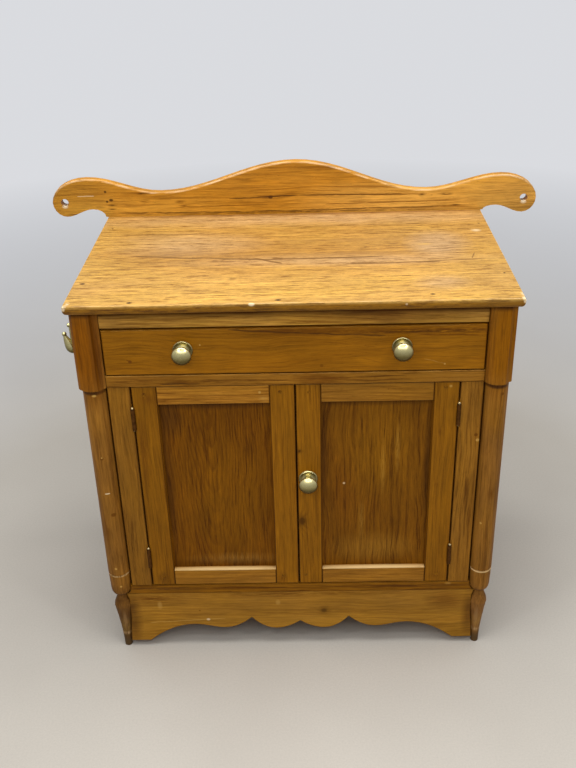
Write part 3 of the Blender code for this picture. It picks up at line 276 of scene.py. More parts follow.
def pine(name, grain, centre, finish="frame", seed=0, spacing=0.007, pith=(0.05, 0.04), slope=(0.02, 0.05),
         contrast=0.6, wander=0.006, tone=1.0, hue=WARM, knots=(), marks=(), edge_wear_and_light=0.6, gloss=0.48,
         mottle=0.6, lines=1.0, fineness=1.0, dash=1.0, wave=0.005):
    """Pine sawn from a log: rings round a pith beside the board, fibres, blotches, knots, and edges painted
    pale where they face up and dark elsewhere, as worn and dirty wood with painted highlight and shade.
    """
    light, dark, blotch_tint, worn = FINISHES[finish]
    light, dark, blotch_tint = (tuple(c * (tone * h) for c, h in zip(shade, hue))
                                for shade in (light, dark, blotch_tint))
    worn = tuple(c * (tone * hue[0]) for c in worn)
    graph = Material(name)
    place = graph.place()
    spread = (seed * 0.731, seed * 1.377, seed * 0.593)
    local = graph.split(graph.vector("SUBTRACT", place, tuple(centre)))
    across, through, along = (local[i] for i in LENGTHWISE[grain])
    board = graph.vector("ADD", graph.join(across, through, along), spread)

    # Rings: distance from a pith that leans, bent by slow noise and by knots
    bend = graph.noise(board, 7.0, 1.6, 3.0)
    twist = graph.noise(board, 60.0, 6.0)
    lean_across = graph.math("MULTIPLY_ADD", along, slope[0], pith[0])
    lean_through = graph.math("MULTIPLY_ADD", along, slope[1], pith[1])
    u = graph.math("ADD", across, lean_across)
    v = graph.math("ADD", through, lean_through)
    radius = graph.vector("LENGTH", graph.join(u, v, 0.0))
    radius = graph.math("MULTIPLY_ADD", bend, 5.0 * wander, radius)
    radius = graph.math("MULTIPLY_ADD", twist, 0.5 * wander, radius)
    knot_shade = None
    for row in knots:
        *knot, size = (MM * number for number in row)
        stretch = [size * 1.15] * 3
        stretch["XYZ".index(grain)] = size * 1.5
        offset = graph.vector("SUBTRACT", place, tuple(knot))
        far = graph.vector("LENGTH", graph.vector("DIVIDE", offset, tuple(stretch)))
        swell = graph.math("EXPONENT", graph.times(far, far, -0.30))
        radius = graph.math("MULTIPLY_ADD", swell, 1.8 * size, radius)
        core = graph.ramp(graph.times(far, 0.4), KNOT_SHADES)
        knot_shade = core if knot_shade is None else graph.math("MAXIMUM", knot_shade, core)
    ring = graph.math("FRACT", graph.math("DIVIDE", radius, spacing))
    late = graph.ramp(ring, RING_SHADES)
    rise_and_fall = graph.noise(board, 26.0, 1.5, 1.0)
    late = graph.times(late, graph.remap(rise_and_fall, 0.30, 0.70, 0.15, 1.2))

    # Fibres, fine dark lines, bands and blotches
    sway = graph.math("MULTIPLY_ADD", graph.noise(board, 11.0, 6.0), 2.0 * wave, -wave)
    flow = graph.vector("ADD", board, graph.join(sway, 0.0, 0.0))
    fibre = graph.noise(flow, 420.0 * fineness, 24.0 * dash, 4.0, 0.75)
    thread = graph.noise(flow, 175.0 * fineness, 6.0 * dash, 5.0, 0.75)
    band = graph.noise(flow, 70.0 * fineness, 3.0, 3.0, 0.6)
    blotch = graph.noise(board, 14.0, 6.0, 4.0, 0.6)
    speck = graph.noise(board, 620.0 * fineness, 120.0, 1.0)
    colour = graph.mix(graph.math("MULTIPLY", late, contrast, clamp=True), light, dark)
    colour = graph.mix(graph.remap(blotch, 0.38, 0.70, 0.0, mottle), colour, blotch_tint)
    for tint, strength, kind, *shape in marks:
        if kind == TINGE:
            cloudy = graph.remap(blotch, 0.25, 0.60, 0.55, 1.1)
            uneven = graph.times(spot(graph, place, *shape, kind), cloudy, strength)
            colour = graph.mix(uneven, colour, tint)
    thin = graph.times(graph.remap(thread, 0.50, 0.60), graph.remap(band, 0.30, 0.62, 0.30 * lines, lines))
    colour = graph.mix(thin, colour, graph.vector("MULTIPLY", colour, DARK_THREAD))
    pale = graph.times(graph.remap(thread, 0.47, 0.36), graph.remap(band, 0.35, 0.65, 0.5 * lines, 0.1))
    colour = graph.mix(pale, colour, graph.vector("MULTIPLY", colour, PALE_THREAD))
    grime = graph.noise(board, 22.0, 9.0, 3.0, 0.6)
    shade = graph.times(graph.remap(fibre, 0.30, 0.70, 0.76, 1.24),
                        graph.remap(band, 0.28, 0.72, 1.10, 0.90),
                        graph.remap(grime, 0.28, 0.72, 1.14, 0.86))
    colour = graph.vector("SCALE", colour, scale=shade)
    colour = graph.mix(graph.remap(speck, 0.70, 0.78, 0.0, 0.5), colour, tuple(c * 0.5 for c in dark))
    if knot_shade is not None:
        colour = graph.mix(graph.times(knot_shade, 0.85), colour, tuple(c * 0.35 for c in dark))

    # Arrises painted pale where they face upwards, as worn wood and a painted highlight, and dark elsewhere,
    # as dirt and painted shade; then the placed marks
    if edge_wear_and_light:
        upward = graph.remap(graph.upward(), 0.02, 0.40)
        patchy = graph.remap(graph.noise(board, 90.0, 26.0, 3.0, 0.6), 0.34, 0.60)
        rubbed_and_lit = graph.times(patchy, edge_wear_and_light, upward)
        soiled_and_shaded = graph.times(graph.math("SUBTRACT", 1.0, upward), 0.85)
        colour = graph.mix(graph.times(graph.arris(), rubbed_and_lit), colour, worn)
        colour = graph.mix(graph.times(graph.arris(), soiled_and_shaded), colour, tuple(c * 0.5 for c in dark))
    if marks:
        ragged = graph.remap(graph.noise(board, 380.0 * fineness, 45.0, 3.0, 0.7), 0.36, 0.56)
        wavy = graph.noise(board, 30.0, 30.0)
        drift = graph.vector("SCALE", graph.join(wavy, wavy, wavy), scale=2 * DRIFT)
        drifted = graph.vector("ADD", place, graph.vector("SUBTRACT", drift, (DRIFT, DRIFT, DRIFT)))
    for tint, strength, kind, *shape in marks:
        if kind == TINGE:
            continue
        drawn = stroke(graph, drifted, *shape) if kind == LINE else spot(graph, place, *shape, kind)
        share = graph.times(drawn, strength)
        if kind == SMEAR:
            share = graph.times(share, ragged)
        colour = graph.mix(share, colour, tint)
    rough = graph.remap(blotch, 0.3, 0.7, gloss - 0.06, gloss + 0.10)
    rough = graph.math("MULTIPLY_ADD", late, -0.05, rough)
    graph.give(Base_Color=colour, Roughness=rough, Specular_IOR_Level=SHEEN[finish])
    relief = graph.math("MULTIPLY_ADD", late, 0.5, graph.times(fibre, 0.45))
    relief = graph.math("MULTIPLY_ADD", thread, 0.7, relief)
    graph.bump(relief, GRAIN_DEPTH, 0.6)
    return graph.material


# What is particular to a board: its figure, knots and marks

DARK_SPOT = (0.060, 0.018, 0.002)
CRACK = (0.16, 0.070, 0.012)
RAW = (0.84, 0.66, 0.40)
PALE = (0.60, 0.34, 0.075)
FADED = (0.50, 0.30, 0.125)
BROWNED = (0.42, 0.205, 0.038)
GOLDEN = (0.66, 0.34, 0.045)
# Burnt brown; also painted shade in the left front post's hollow, on the rail under the top and along the
# apron's top
BURNT_AND_SHADE = (0.150, 0.046, 0.002)
# Dirt; also painted shade under the front posts' pommels and along the door panels' edges
DIRT_AND_SHADE = (0.085, 0.030, 0.004)
# Painted shadow, under the top's overhang
PAINTED_SHADOW = (0.085, 0.027, 0.001)
# Painted highlight, on the ledges of the doors' bottom rails and on the lips of the collars
PAINTED_HIGHLIGHT = (0.86, 0.60, 0.27)

# Where the marked faces lie and how deep a mark goes, in millimetres
TOP = 765
SPLASH_FACE = 223.25
DRAWER_FACE = -209.75
DOOR_FACE = -206.75
PANEL_FACE = -195.25
APRON_FACE = -206.75
LEDGE = 192.5
COLLAR_LIP = 187.9
POST_AXIS_Y = -198.8
FACE_DEEP = 20


def mark(kind, *row):
    """A mark from its kind, place and size in millimetres, tint, strength and, for a long dot, how long."""
    count = {DOT: 4, LINE: 7}.get(kind, 6)
    place, size = ([MM * number for number in part] for part in (row[:3], row[3:count]))
    tint, strength, *longer = row[count:]
    if kind == LINE:
        return tint, strength, kind, tuple(place), tuple(size[:3]), size[3]
    if kind == DOT:
        size = [size[0] * (longer[0] if longer else 1.0), size[0], size[0]]
    return tint, strength, kind, tuple(place), tuple(size)


def marks_on(axis, face, deep, *rows):
    """Marks on a face that lies across an axis, from rows that leave this axis out."""
    marks = []
    for kind, *row in rows:
        row.insert(axis, face)
        if kind != DOT:
            row.insert(axis + 3, face if kind == LINE else deep)
        marks.append(mark(kind, *row))
    return marks


def on_face(face, *rows):
    """Marks on an upright face."""
    return marks_on(1, face, FACE_DEEP, *rows)


TOP_MARKS = marks_on(
    2, TOP, 30,
    (TINGE, 0, 170, 700, 260, BROWNED, 0.8),
    (TINGE, -20, -20, 500, 120, BROWNED, 1.1),
    (TINGE, 0, 185, 620, 55, FADED, 0.85),
    (TINGE, -200, 50, 170, 75, FADED, 0.7),
    (TINGE, 80, -45, 340, 36, FADED, 0.75),
    (TINGE, 270, 30, 70, 85, FADED, 1.2),
    (TINGE, 255, -155, 60, 40, FADED, 0.8)
) + marks_on(
    2, TOP, 20,
    (SMEAR, -220, 2, 120, 22, (0.26, 0.135, 0.045), 0.9),
    (SMEAR, 60, -12, 240, 14, (0.3, 0.155, 0.045), 0.8),
    (SMEAR, 100, 60, 300, 12, (0.33, 0.165, 0.045), 0.6),
    (WASH, 0, 219, 600, 10, BURNT_AND_SHADE, 0.55),
    (LINE, -300, -4, -168, -24, 4, CRACK, 0.9),
    (LINE, -185, -18, -60, -35, 3.6, CRACK, 0.9),
    (LINE, -75, -26, -20, -55, 4, CRACK, 0.9),
    (LINE, -80, -36, 160, -30, 4.2, CRACK, 0.9),
    (LINE, 90, -64, 262, -60, 3.4, CRACK, 0.9),
    (LINE, 200, -62, 352, -48, 2.2, CRACK, 0.8),
    (LINE, 240, 2, 330, 12, 2, CRACK, 0.8),
    (LINE, -100, 85, 60, 88, 2.2, CRACK, 0.8),
    (LINE, -330, 110, -120, 106, 2, CRACK, 0.8),
    (LINE, 20, 140, 260, 145, 2, CRACK, 0.8),
    (LINE, -350, -70, -240, -74, 1.8, CRACK, 0.8),
    (LINE, 322, -46, 330, -20, 1.6, CRACK, 0.8),
    (DOT, -365, -133.9, 4.2, DARK_SPOT, 0.9, 1.5),
    (DOT, -270.6, -219.9, 3.8, DARK_SPOT, 0.9, 1.6),
    (DOT, -24.2, -219, 4.2, DARK_SPOT, 0.9, 1.6),
    (DOT, -105, -124, 4.5, CRACK, 0.6, 1.8),
    (DOT, 232, -206, 3.4, DARK_SPOT, 0.9, 1.6)
) + [mark(*row) for row in (
    (SMEAR, -379, -230, TOP, 7.5, 7, 6, RAW, 1.0),
    (SMEAR, -373.5, -220, TOP, 4.5, 9, 4, RAW, 1.0),
    (DOT, -379, -231.8, TOP - 5, 4, RAW, 0.8),
    (WASH, 379.5, -228.5, TOP, 6, 7, 6, RAW, 1.0),
    (DOT, 380.5, -231.8, TOP - 5, 4, RAW, 0.8),
    (SMEAR, 378.5, -212, TOP, 4, 11, 4, RAW, 1.0),
    (DOT, -67.7, -231.8, TOP - 1.2, 4.2, RAW, 1.0, 1.5),
    (DOT, 186.5, -231.8, TOP - 6, 2.5, RAW, 0.5),
    (SMEAR, 245, 30, TOP, 20, 8, 10, PALE, 0.9),
    (SMEAR, 352, 100, TOP, 12, 10, 10, RAW, 0.8),
    # The moulded front and side edges are painted darker: painted shade under the nosing, and grime
    (TINGE, 0, -231.8, TOP - 13.5, 1600, 16, 12, (0.29, 0.122, 0.003), 2.0),
    (TINGE, -381, 0, TOP - 13.5, 16, 1000, 12, (0.29, 0.122, 0.003), 2.0),
    (TINGE, 381, 0, TOP - 13.5, 16, 1000, 12, (0.29, 0.122, 0.003), 2.0),
)]
SPLASH_MARKS = on_face(
    SPLASH_FACE,
    (TINGE, 270, 790, 300, 55, (0.72, 0.39, 0.075), 0.85),
    (TINGE, 460, 800, 100, 60, (0.66, 0.32, 0.055), 0.7),
    (TINGE, -300, 780, 220, 32, GOLDEN, 0.55),
    (SMEAR, 0, 768.5, 500, 4.5, DIRT_AND_SHADE, 0.85),
    (SMEAR, -48, 800, 45, 5, BURNT_AND_SHADE, 1.0),
    (DOT, -46.5, 800.3, 4.2, DARK_SPOT, 0.9, 1.5),
    (DOT, -382, 817.9, 3.2, DARK_SPOT, 0.9),
    (DOT, -371.5, 800.5, 3.6, DARK_SPOT, 0.9, 1.5),
    (DOT, -380, 797.5, 3, DARK_SPOT, 0.9),
    (SMEAR, -394, 786.6, 13, 3.6, DARK_SPOT, 1.0),
    (SMEAR, -370, 789.5, 13, 3, DARK_SPOT, 0.9),
    (SMEAR, -371, 781.5, 12, 2.6, DARK_SPOT, 0.9),
    (SMEAR, -307, 813, 15, 3, DARK_SPOT, 1.0),
    (SMEAR, -303, 796.5, 14, 4.8, BURNT_AND_SHADE, 0.9),
    (SMEAR, -230, 794, 14, 4.5, BURNT_AND_SHADE, 0.9),
    (SMEAR, -222, 786, 16, 3, BURNT_AND_SHADE, 0.8),
    (SMEAR, 260.8, 798.5, 9, 5, DARK_SPOT, 1.0),
    (SMEAR, 307.4, 799.5, 19, 3.8, DARK_SPOT, 1.0),
    (SMEAR, 329, 776, 15, 3, DARK_SPOT, 0.9),
    (LINE, -130, 798.5, 10, 803, 2, DIRT_AND_SHADE, 0.9),
    (LINE, 10, 803, 240, 801, 2, DIRT_AND_SHADE, 0.85),
    (LINE, -360, 772.5, -90, 770.5, 1.8, DIRT_AND_SHADE, 0.8),
    (LINE, -90, 771.5, 310, 774, 1.8, DIRT_AND_SHADE, 0.8),
    (LINE, 60, 783, 330, 786.5, 1.4, BURNT_AND_SHADE, 0.7),
    (LINE, -240, 783, -50, 785, 1.4, BURNT_AND_SHADE, 0.7),
    (LINE, -440, 810, -405, 809.5, 1.2, RAW, 0.7),
    (SMEAR, -440, 772.5, 30, 5, DIRT_AND_SHADE, 0.8),
) + [
    # Painted highlight on the bare wood of each ear hole's lower rim
    mark(WASH, -467, SPLASH_FACE + 6, 788.5, 8.5, 12, 5.5, (0.92, 0.76, 0.52), 1.0),
    mark(WASH, 467, SPLASH_FACE + 6, 780, 8.5, 12, 5.5, (0.92, 0.76, 0.52), 1.0),
]
DRAWER_MARKS = on_face(
    DRAWER_FACE,
    (TINGE, 20, 672, 170, 55, (0.27, 0.097, 0.002), 0.55),
    (TINGE, 0, 640, 400, 28, (0.36, 0.13, 0.003), 0.5),
    (SMEAR, 220, 700.5, 330, 10, BURNT_AND_SHADE, 1.0),
    (SMEAR, 0, 704.5, 120, 6, BURNT_AND_SHADE, 1.0),
    (SMEAR, 220, 698.5, 150, 4, DIRT_AND_SHADE, 0.8),
    (LINE, -110, 708, 20, 698.5, 2.4, DIRT_AND_SHADE, 0.8),
    (LINE, 20, 698.5, 155, 692, 2.4, DIRT_AND_SHADE, 0.8),
    (LINE, 215, 693, 320, 690.5, 2, BURNT_AND_SHADE, 0.8),
    (LINE, 50, 682, 140, 671, 1.2, BURNT_AND_SHADE, 0.5),
    (LINE, 90, 660, 155, 638, 1, BURNT_AND_SHADE, 0.4),
    (DOT, -282.2, 650.4, 4, BURNT_AND_SHADE, 0.85),
    (LINE, -289, 653.5, -280, 650, 1.6, BURNT_AND_SHADE, 0.8),
    (DOT, -160, 680.5, 1.8, PALE, 0.8),
    (DOT, 47, 637, 3.6, BURNT_AND_SHADE, 0.6),
    (DOT, 258, 636.5, 2.2, PALE, 0.7),
    (LINE, 222, 647, 258, 637.5, 1, PALE, 0.35),
)


def post_marks(x, lip, front, shin):
    """Painted highlight on the lip of the collar's groove, dark wood below the neck, a painted reflection
    down the front of the foot, worn pale shins and dirty toes.
    """
    return [mark(*row) for row in (
        (TINGE, x, POST_AXIS_Y, 60, 60, 60, 115, shin, 0.85),
        (WASH, x, POST_AXIS_Y, 138, 50, 50, 6, DIRT_AND_SHADE, 0.8),
        (SMEAR, x, POST_AXIS_Y, 120, 50, 50, 12, DIRT_AND_SHADE, 0.6),
        # Painted highlight on the lip of the collar's groove
        (lip, x, POST_AXIS_Y, COLLAR_LIP, 50, 50, 2, PAINTED_HIGHLIGHT, 0.95),
        # Painted reflection: a pale upright streak down the front of the foot
        (WASH, front, POST_AXIS_Y - 14, 72, 5, 12, 30, (0.40, 0.23, 0.09), 0.42),
        (SMEAR, x, POST_AXIS_Y, 52, 50, 50, 30, PALE, 0.35),
        (SMEAR, x, POST_AXIS_Y, 34, 50, 50, 6, (0.55, 0.36, 0.17), 0.75),
        (WASH, x, POST_AXIS_Y, 6, 50, 50, 24, (0.10, 0.058, 0.022), 0.90))]


def ledge_highlight(x):
    """Painted highlight on the ledge of a door's bottom rail, before the panel."""
    return [mark(WASH, x, DOOR_FACE + 3, LEDGE + 1, 200, 9.5, 3, PAINTED_HIGHLIGHT, 1.0)]


BOARDS = {
    "top_board": dict(pith=(0.04, 0.07), slope=(0.02, 0.06), contrast=0.45, tone=1.00, fineness=1.35,
                      dash=4.5, lines=1.10, marks=TOP_MARKS, edge_wear_and_light=0.45, gloss=0.50, mottle=0.8),
    "splashback": dict(pith=(0.06, 0.03), slope=(0.03, 0.02), contrast=0.45, tone=1.03,
                       marks=SPLASH_MARKS, edge_wear_and_light=0.55, lines=0.75),
    "drawer_front": dict(pith=(0.055, 0.03), slope=(0.02, 0.02), contrast=0.38, tone=0.885, lines=0.48,
                         fineness=1.3, wave=0.018, marks=DRAWER_MARKS),
    # Painted shadow under the top's overhang: a dark band along the rail's top and a darker tinge on its
    # right. The rail's tone is also raised, as painted light that makes up for the overhang's shade.
    "drawer_top_rail": dict(tone=1.40, hue=ASHEN, contrast=0.75, marks=[
        mark(TINGE, 0, DRAWER_FACE, 747.5, 900, 60, 17.5, PAINTED_SHADOW, 1.5)] + on_face(DRAWER_FACE,
        (TINGE, 130, 726, 200, 18, BURNT_AND_SHADE, 0.55),
        (SMEAR, 20, 720, 50, 4, BURNT_AND_SHADE, 0.8))),
    "drawer_divider_rail": dict(tone=0.90, hue=DUSTY, contrast=1.0, lines=1.35, marks=on_face(DRAWER_FACE,
        (TINGE, 40, 612, 50, 30, BURNT_AND_SHADE, 0.6),
        (SMEAR, 0, 599.5, 400, 3, (0.16, 0.062, 0.006), 0.75),
        (LINE, -234, 606.5, -165, 606, 2.2, DIRT_AND_SHADE, 0.9),
        (SMEAR, 50, 612, 100, 6, BURNT_AND_SHADE, 0.8),
        (SMEAR, -280, 611, 50, 4, BURNT_AND_SHADE, 0.6))),
    "bottom_front_rail": dict(tone=0.66, contrast=0.8, lines=1.3, marks=on_face(DOOR_FACE,
        (SMEAR, -260, 147, 100, 6, DIRT_AND_SHADE, 0.9),
        (SMEAR, 240, 147, 120, 6, DIRT_AND_SHADE, 0.8),
        (SMEAR, 290, 152, 8, 3, PALE, 0.9))),
    "front_apron": dict(tone=1.05, hue=SALLOW, contrast=0.36, lines=0.48, fineness=1.3, wave=0.014,
                        edge_wear_and_light=0.08, knots=[(47.5, APRON_FACE, 86.8, 5.5)], marks=[
        mark(TINGE, 0, APRON_FACE, 62, 320, 30, 22, GOLDEN, 0.16)] + on_face(APRON_FACE,
        # Painted shade at both ends, beside the legs
        (TINGE, -335, 75, 22, 75, (0.12, 0.045, 0.005), 0.95),
        (TINGE, 335, 75, 18, 75, (0.14, 0.052, 0.005), 0.9),
        (SMEAR, -290, 122, 70, 14, BURNT_AND_SHADE, 0.8),
        (TINGE, 290, 110, 50, 30, BURNT_AND_SHADE, 0.55),
        # Painted shade along the top, under the bottom rail
        (SMEAR, 0, 130, 360, 8, BURNT_AND_SHADE, 0.7),
        (DOT, -184.2, 67.1, 3.2, RAW, 1.0, 1.4),
        (WASH, -278.5, 105.1, 6, 12, PALE, 0.45),
        (WASH, -43.5, 108.9, 6, 8, PALE, 0.45),
        (LINE, -310, 60, -150, 69, 1.6, PALE, 0.55),
        (DOT, -200, 90, 2.2, BURNT_AND_SHADE, 0.7))),
    "front_left_post": dict(tone=0.78, hue=WEATHERED, edge_wear_and_light=0.0, lines=0.7, marks=[mark(*row) for row in (
        (TINGE, -356, -220, 685, 36, 40, 140, (0.255, 0.08, 0.001), 1.3),
        # Painted shadow under the pommel
        (TINGE, -352, -220, 594.5, 50, 50, 5.5, DIRT_AND_SHADE, 1.2),
        (SMEAR, -352, POST_AXIS_Y, 152, 50, 50, 18, DIRT_AND_SHADE, 0.45),
        (SMEAR, -343, POST_AXIS_Y, 230, 20, 50, 30, DIRT_AND_SHADE, 0.55),
        # Painted shade in the hollow on the inner side of the block
        (TINGE, -337, -219, 680, 13, 20, 120, BURNT_AND_SHADE, 1.1),
        (DOT, -343.6, -217.4, 334.6, 5, BURNT_AND_SHADE, 0.85, 1.3),
        (SMEAR, -360, -219, 300, 10, 20, 40, BURNT_AND_SHADE, 0.7),
        (TINGE, -354, -219, 535, 30, 30, 50, (0.4, 0.17, 0.02), 0.75),
        (LINE, -353.5, -219, 383.8, -344.6, -217.6, 384.6, 1.6, RAW, 1.0),
        (DOT, -351.4, -219.4, 460, 4.2, BURNT_AND_SHADE, 0.85),
        (DOT, -351.2, -219.4, 461.8, 2, PALE, 0.9),
        # Painted shadow under the top's overhang
        (TINGE, -352, -220, 750, 50, 50, 14, PAINTED_SHADOW, 1.35),
        (DOT, -349.9, -218.5, 589.7, 3, PALE, 0.9, 1.6),
        (DOT, -348.8, -218.5, 613.4, 2.4, PALE, 0.7),
        (DOT, -353, -218.5, 208, 3.2, PALE, 0.9),
        (DOT, -348, -218, 163, 2.8, PALE, 0.9))] + post_marks(-352, SMEAR, -350, (0.078, 0.036, 0.012))),
    "front_right_post": dict(tone=0.77, hue=WEATHERED, edge_wear_and_light=0.0, lines=0.7, marks=[mark(*row) for row in (
        (TINGE, 354, -220, 685, 45, 40, 140, (0.295, 0.102, 0.001), 1.3),
        # Painted shadow under the pommel
        (TINGE, 352, -220, 594.5, 50, 50, 5.5, DIRT_AND_SHADE, 1.2),
        # Painted shadow under the top's overhang
        (TINGE, 352, -220, 750, 50, 50, 14, PAINTED_SHADOW, 1.35),
        (DOT, 374.2, -218.5, 715.1, 3.4, DARK_SPOT, 0.9),
        (DOT, 373.2, -218.5, 689.2, 3, DARK_SPOT, 0.9),
        (DOT, 372.3, -218.5, 679.9, 3, DARK_SPOT, 0.9),
        (DOT, 360, -218.5, 580, 4, BURNT_AND_SHADE, 0.8),
        (SMEAR, 356, -219, 370, 10, 20, 18, BURNT_AND_SHADE, 0.8),
        (TINGE, 354, -219, 535, 30, 30, 50, (0.36, 0.148, 0.01), 0.6),
        (DOT, 341, -217, 303, 3, PALE, 0.8))] + post_marks(352, WASH, 349, (0.24, 0.107, 0.028))),
    "rear_left_post": dict(tone=0.75, hue=WEATHERED, edge_wear_and_light=0.0, lines=0.7),
    "rear_right_post": dict(tone=0.77, hue=WEATHERED, edge_wear_and_light=0.0, lines=0.7),
    "left_door_jamb": dict(tone=0.73, hue=DUSTY),
    "right_door_jamb": dict(tone=0.84, hue=DUSTY, marks=on_face(DOOR_FACE,
        (DOT, 321.5, 491, 4.2, BURNT_AND_SHADE, 0.9),
        (DOT, 325, 480, 3.8, PALE, 0.9))),
    "left_door_hinge_stile": dict(tone=0.71, lines=0.6, fineness=1.4, contrast=0.60, marks=on_face(DOOR_FACE,
        (SMEAR, -266, 172, 12, 22, DIRT_AND_SHADE, 0.9),
        (SMEAR, -275, 470, 10, 90, BURNT_AND_SHADE, 0.7),
        (SMEAR, -258, 575, 20, 16, BURNT_AND_SHADE, 0.6))),
    "left_door_meeting_stile": dict(tone=0.80, lines=0.45, fineness=1.3, marks=on_face(DOOR_FACE,
        (SMEAR, -32, 172, 14, 20, BURNT_AND_SHADE, 0.8))),
    "left_door_top_rail": dict(tone=1.20, hue=DUSTY, contrast=0.8, lines=1.2, marks=on_face(DOOR_FACE,
        (DOT, -62, 585, 3, PALE, 0.8),
        (SMEAR, -55, 572, 12, 8, PALE, 0.5),
        (SMEAR, -230, 570, 30, 6, BURNT_AND_SHADE, 0.8))),
    "left_door_bottom_rail": dict(tone=0.96, hue=DUSTY, contrast=0.35, lines=0.6, marks=ledge_highlight(-144)),
    "left_door_panel": dict(pith=(0.012, 0.035), slope=(0.02, -0.13), contrast=1.0, tone=0.78, hue=RUDDY,
                            spacing=0.0052, wander=0.008, lines=0.95, fineness=1.5, wave=0.012, dash=1.6,
                            marks=on_face(PANEL_FACE,
        # Dirt and painted shade along the frame round the panel
        (TINGE, -243, 400, 20, 200, DIRT_AND_SHADE, 0.75),
        (TINGE, -144, 562, 140, 20, DIRT_AND_SHADE, 0.8),
        (TINGE, -225, 530, 30, 50, DIRT_AND_SHADE, 0.55),
        (TINGE, -144, 200, 140, 14, DIRT_AND_SHADE, 0.6),
        (SMEAR, -120, 212, 110, 16, PALE, 0.22),
        (TINGE, -130, 360, 90, 170, (0.3, 0.122, 0.003), 0.35))),
    "right_door_meeting_stile": dict(tone=0.79, contrast=0.6, lines=0.5, fineness=1.3,
                                     knots=[(8, DOOR_FACE, 306.5, 8)], marks=on_face(DOOR_FACE,
        (SMEAR, 4, 462, 10, 6, DARK_SPOT, 1.0))),
    "right_door_hinge_stile": dict(tone=0.76, lines=0.6, fineness=1.3, marks=on_face(DOOR_FACE,
        (DOT, 271.5, 591.1, 3.2, PALE, 0.6),
        (SMEAR, 257.1, 497.9, 5, 10, BURNT_AND_SHADE, 0.8),
        (SMEAR, 255.5, 383.8, 5, 10, BURNT_AND_SHADE, 0.8),
        (SMEAR, 265, 172, 20, 16, BURNT_AND_SHADE, 0.7))),
    "right_door_top_rail": dict(tone=0.82, hue=DUSTY, contrast=0.7),
    "right_door_bottom_rail": dict(tone=0.98, hue=DUSTY, contrast=0.5, lines=0.8, marks=ledge_highlight(144)),
    "right_door_panel": dict(pith=(-0.08, 0.05), slope=(0.04, 0.06), contrast=0.55, tone=0.81,
                             spacing=0.009, wander=0.010, lines=0.95, fineness=1.5, wave=0.016, dash=1.6,
                             marks=on_face(PANEL_FACE,
        # Dirt and painted shade along the frame round the panel
        (TINGE, 241, 420, 12, 180, DIRT_AND_SHADE, 0.65),
        (TINGE, 46, 440, 14, 150, DIRT_AND_SHADE, 0.6),
        (TINGE, 144, 564, 140, 16, DIRT_AND_SHADE, 0.65),
        (TINGE, 85, 360, 30, 120, BURNT_AND_SHADE, 0.45),
        (TINGE, 150, 460, 80, 130, (0.33, 0.138, 0.004), 0.4),
        (SMEAR, 184, 460, 6, 60, GOLDEN, 0.4),
        (SMEAR, 158, 420, 6, 70, GOLDEN, 0.35),
        (SMEAR, 120, 300, 8, 50, GOLDEN, 0.3),
        (TINGE, 140, 235, 90, 40, GOLDEN, 0.2),
        (DOT, 86.8, 383.4, 2.8, (0.7, 0.48, 0.24), 0.9))),
}


# Metal

# Tint of the painted shade on a surface that faces down
DOWNWARD_SHADE = (1.0, 0.92, 0.66)
PIT_DEPTH = 0.00006


def brass(name, colour, dull, rough, seed, tarnish=0.5, below=1.0):
    """Brass with cloudy tarnish and fine rubbing marks, and painted shade where it faces down."""
    graph = Material(name)
    place = graph.vector("ADD", graph.place(), (seed, seed * 0.7, seed * 1.3))
    cloud = graph.noise(place, 160.0, 160.0, 4.0, 0.62)
    speck = graph.noise(place, 1400.0, 1400.0)
    tint = graph.mix(graph.times(graph.remap(cloud, 0.38, 0.68), tarnish), colour, dull)
    tint = graph.mix(graph.remap(speck, 0.60, 0.75, 0.0, 0.30), tint, tuple(c * 0.4 for c in dull))
    # Painted shade on what faces down
    if below < 1.0:
        lit = graph.remap(graph.upward("Normal"), -0.30, 0.55)
        shaded = tuple(below * c for c in DOWNWARD_SHADE)
        tint = graph.vector("MULTIPLY", tint, graph.mix(lit, shaded, (1.0, 1.0, 1.0)))
    dulled = graph.remap(cloud, 0.3, 0.7, rough - 0.06, rough + 0.12)
    graph.give(Base_Color=tint, Metallic=1.0, Roughness=dulled)
    graph.bump(graph.math("MULTIPLY_ADD", cloud, 0.6, graph.times(speck, 0.4)), PIT_DEPTH, 0.5)
    return graph.material


# Stage

FLOOR_RADIUS = 18.0
FLOOR_Z = -0.0004
# Light of the room, and the pale backdrop that is seen and mirrored
AMBIENT = (0.165, 0.172, 0.188)
BACKDROP = (0.70, 0.71, 0.74)


def make_floor():
    """A wide pale floor of fine, faintly uneven cement."""
    graph = Material("floor_cement")
    place = graph.place()
    grit = graph.noise(place, 260.0, 260.0, 4.0, 0.7)
    cloud = graph.noise(place, 2.2, 2.2, 3.0)
    shade = graph.mix(graph.remap(cloud, 0.3, 0.7), (0.54, 0.505, 0.45), (0.60, 0.565, 0.505))
    shade = graph.mix(graph.remap(grit, 0.35, 0.70, 0.0, 0.35), shade, (0.42, 0.395, 0.35))
    away = graph.remap(graph.vector("LENGTH", place), 0.9, 3.4)
    shade = graph.mix(away, shade, (0.86, 0.88, 0.92))
    graph.give(Base_Color=shade, Roughness=0.85, Specular_IOR_Level=0.2)
    graph.fade_to(away, BACKDROP)
    bm = bmesh.new()
    bmesh.ops.create_circle(bm, cap_ends=True, segments=96, radius=FLOOR_RADIUS)
    floor = made_of("floor", bm)
    floor.data.materials.append(graph.material)
    floor.location.z = FLOOR_Z


def make_lamp(name, place, aim, size, power, tint=(1.0, 1.0, 1.0)):
    data = bpy.data.lights.new(name, "AREA")
    data.shape = "RECTANGLE"
    data.size, data.size_y = size
    data.energy = power
    data.color = tint
    lamp = put_in(name, data)
    lamp.location = place
    lamp.rotation_euler = (Vector(aim) - Vector(place)).to_track_quat("-Z", "Y").to_euler()


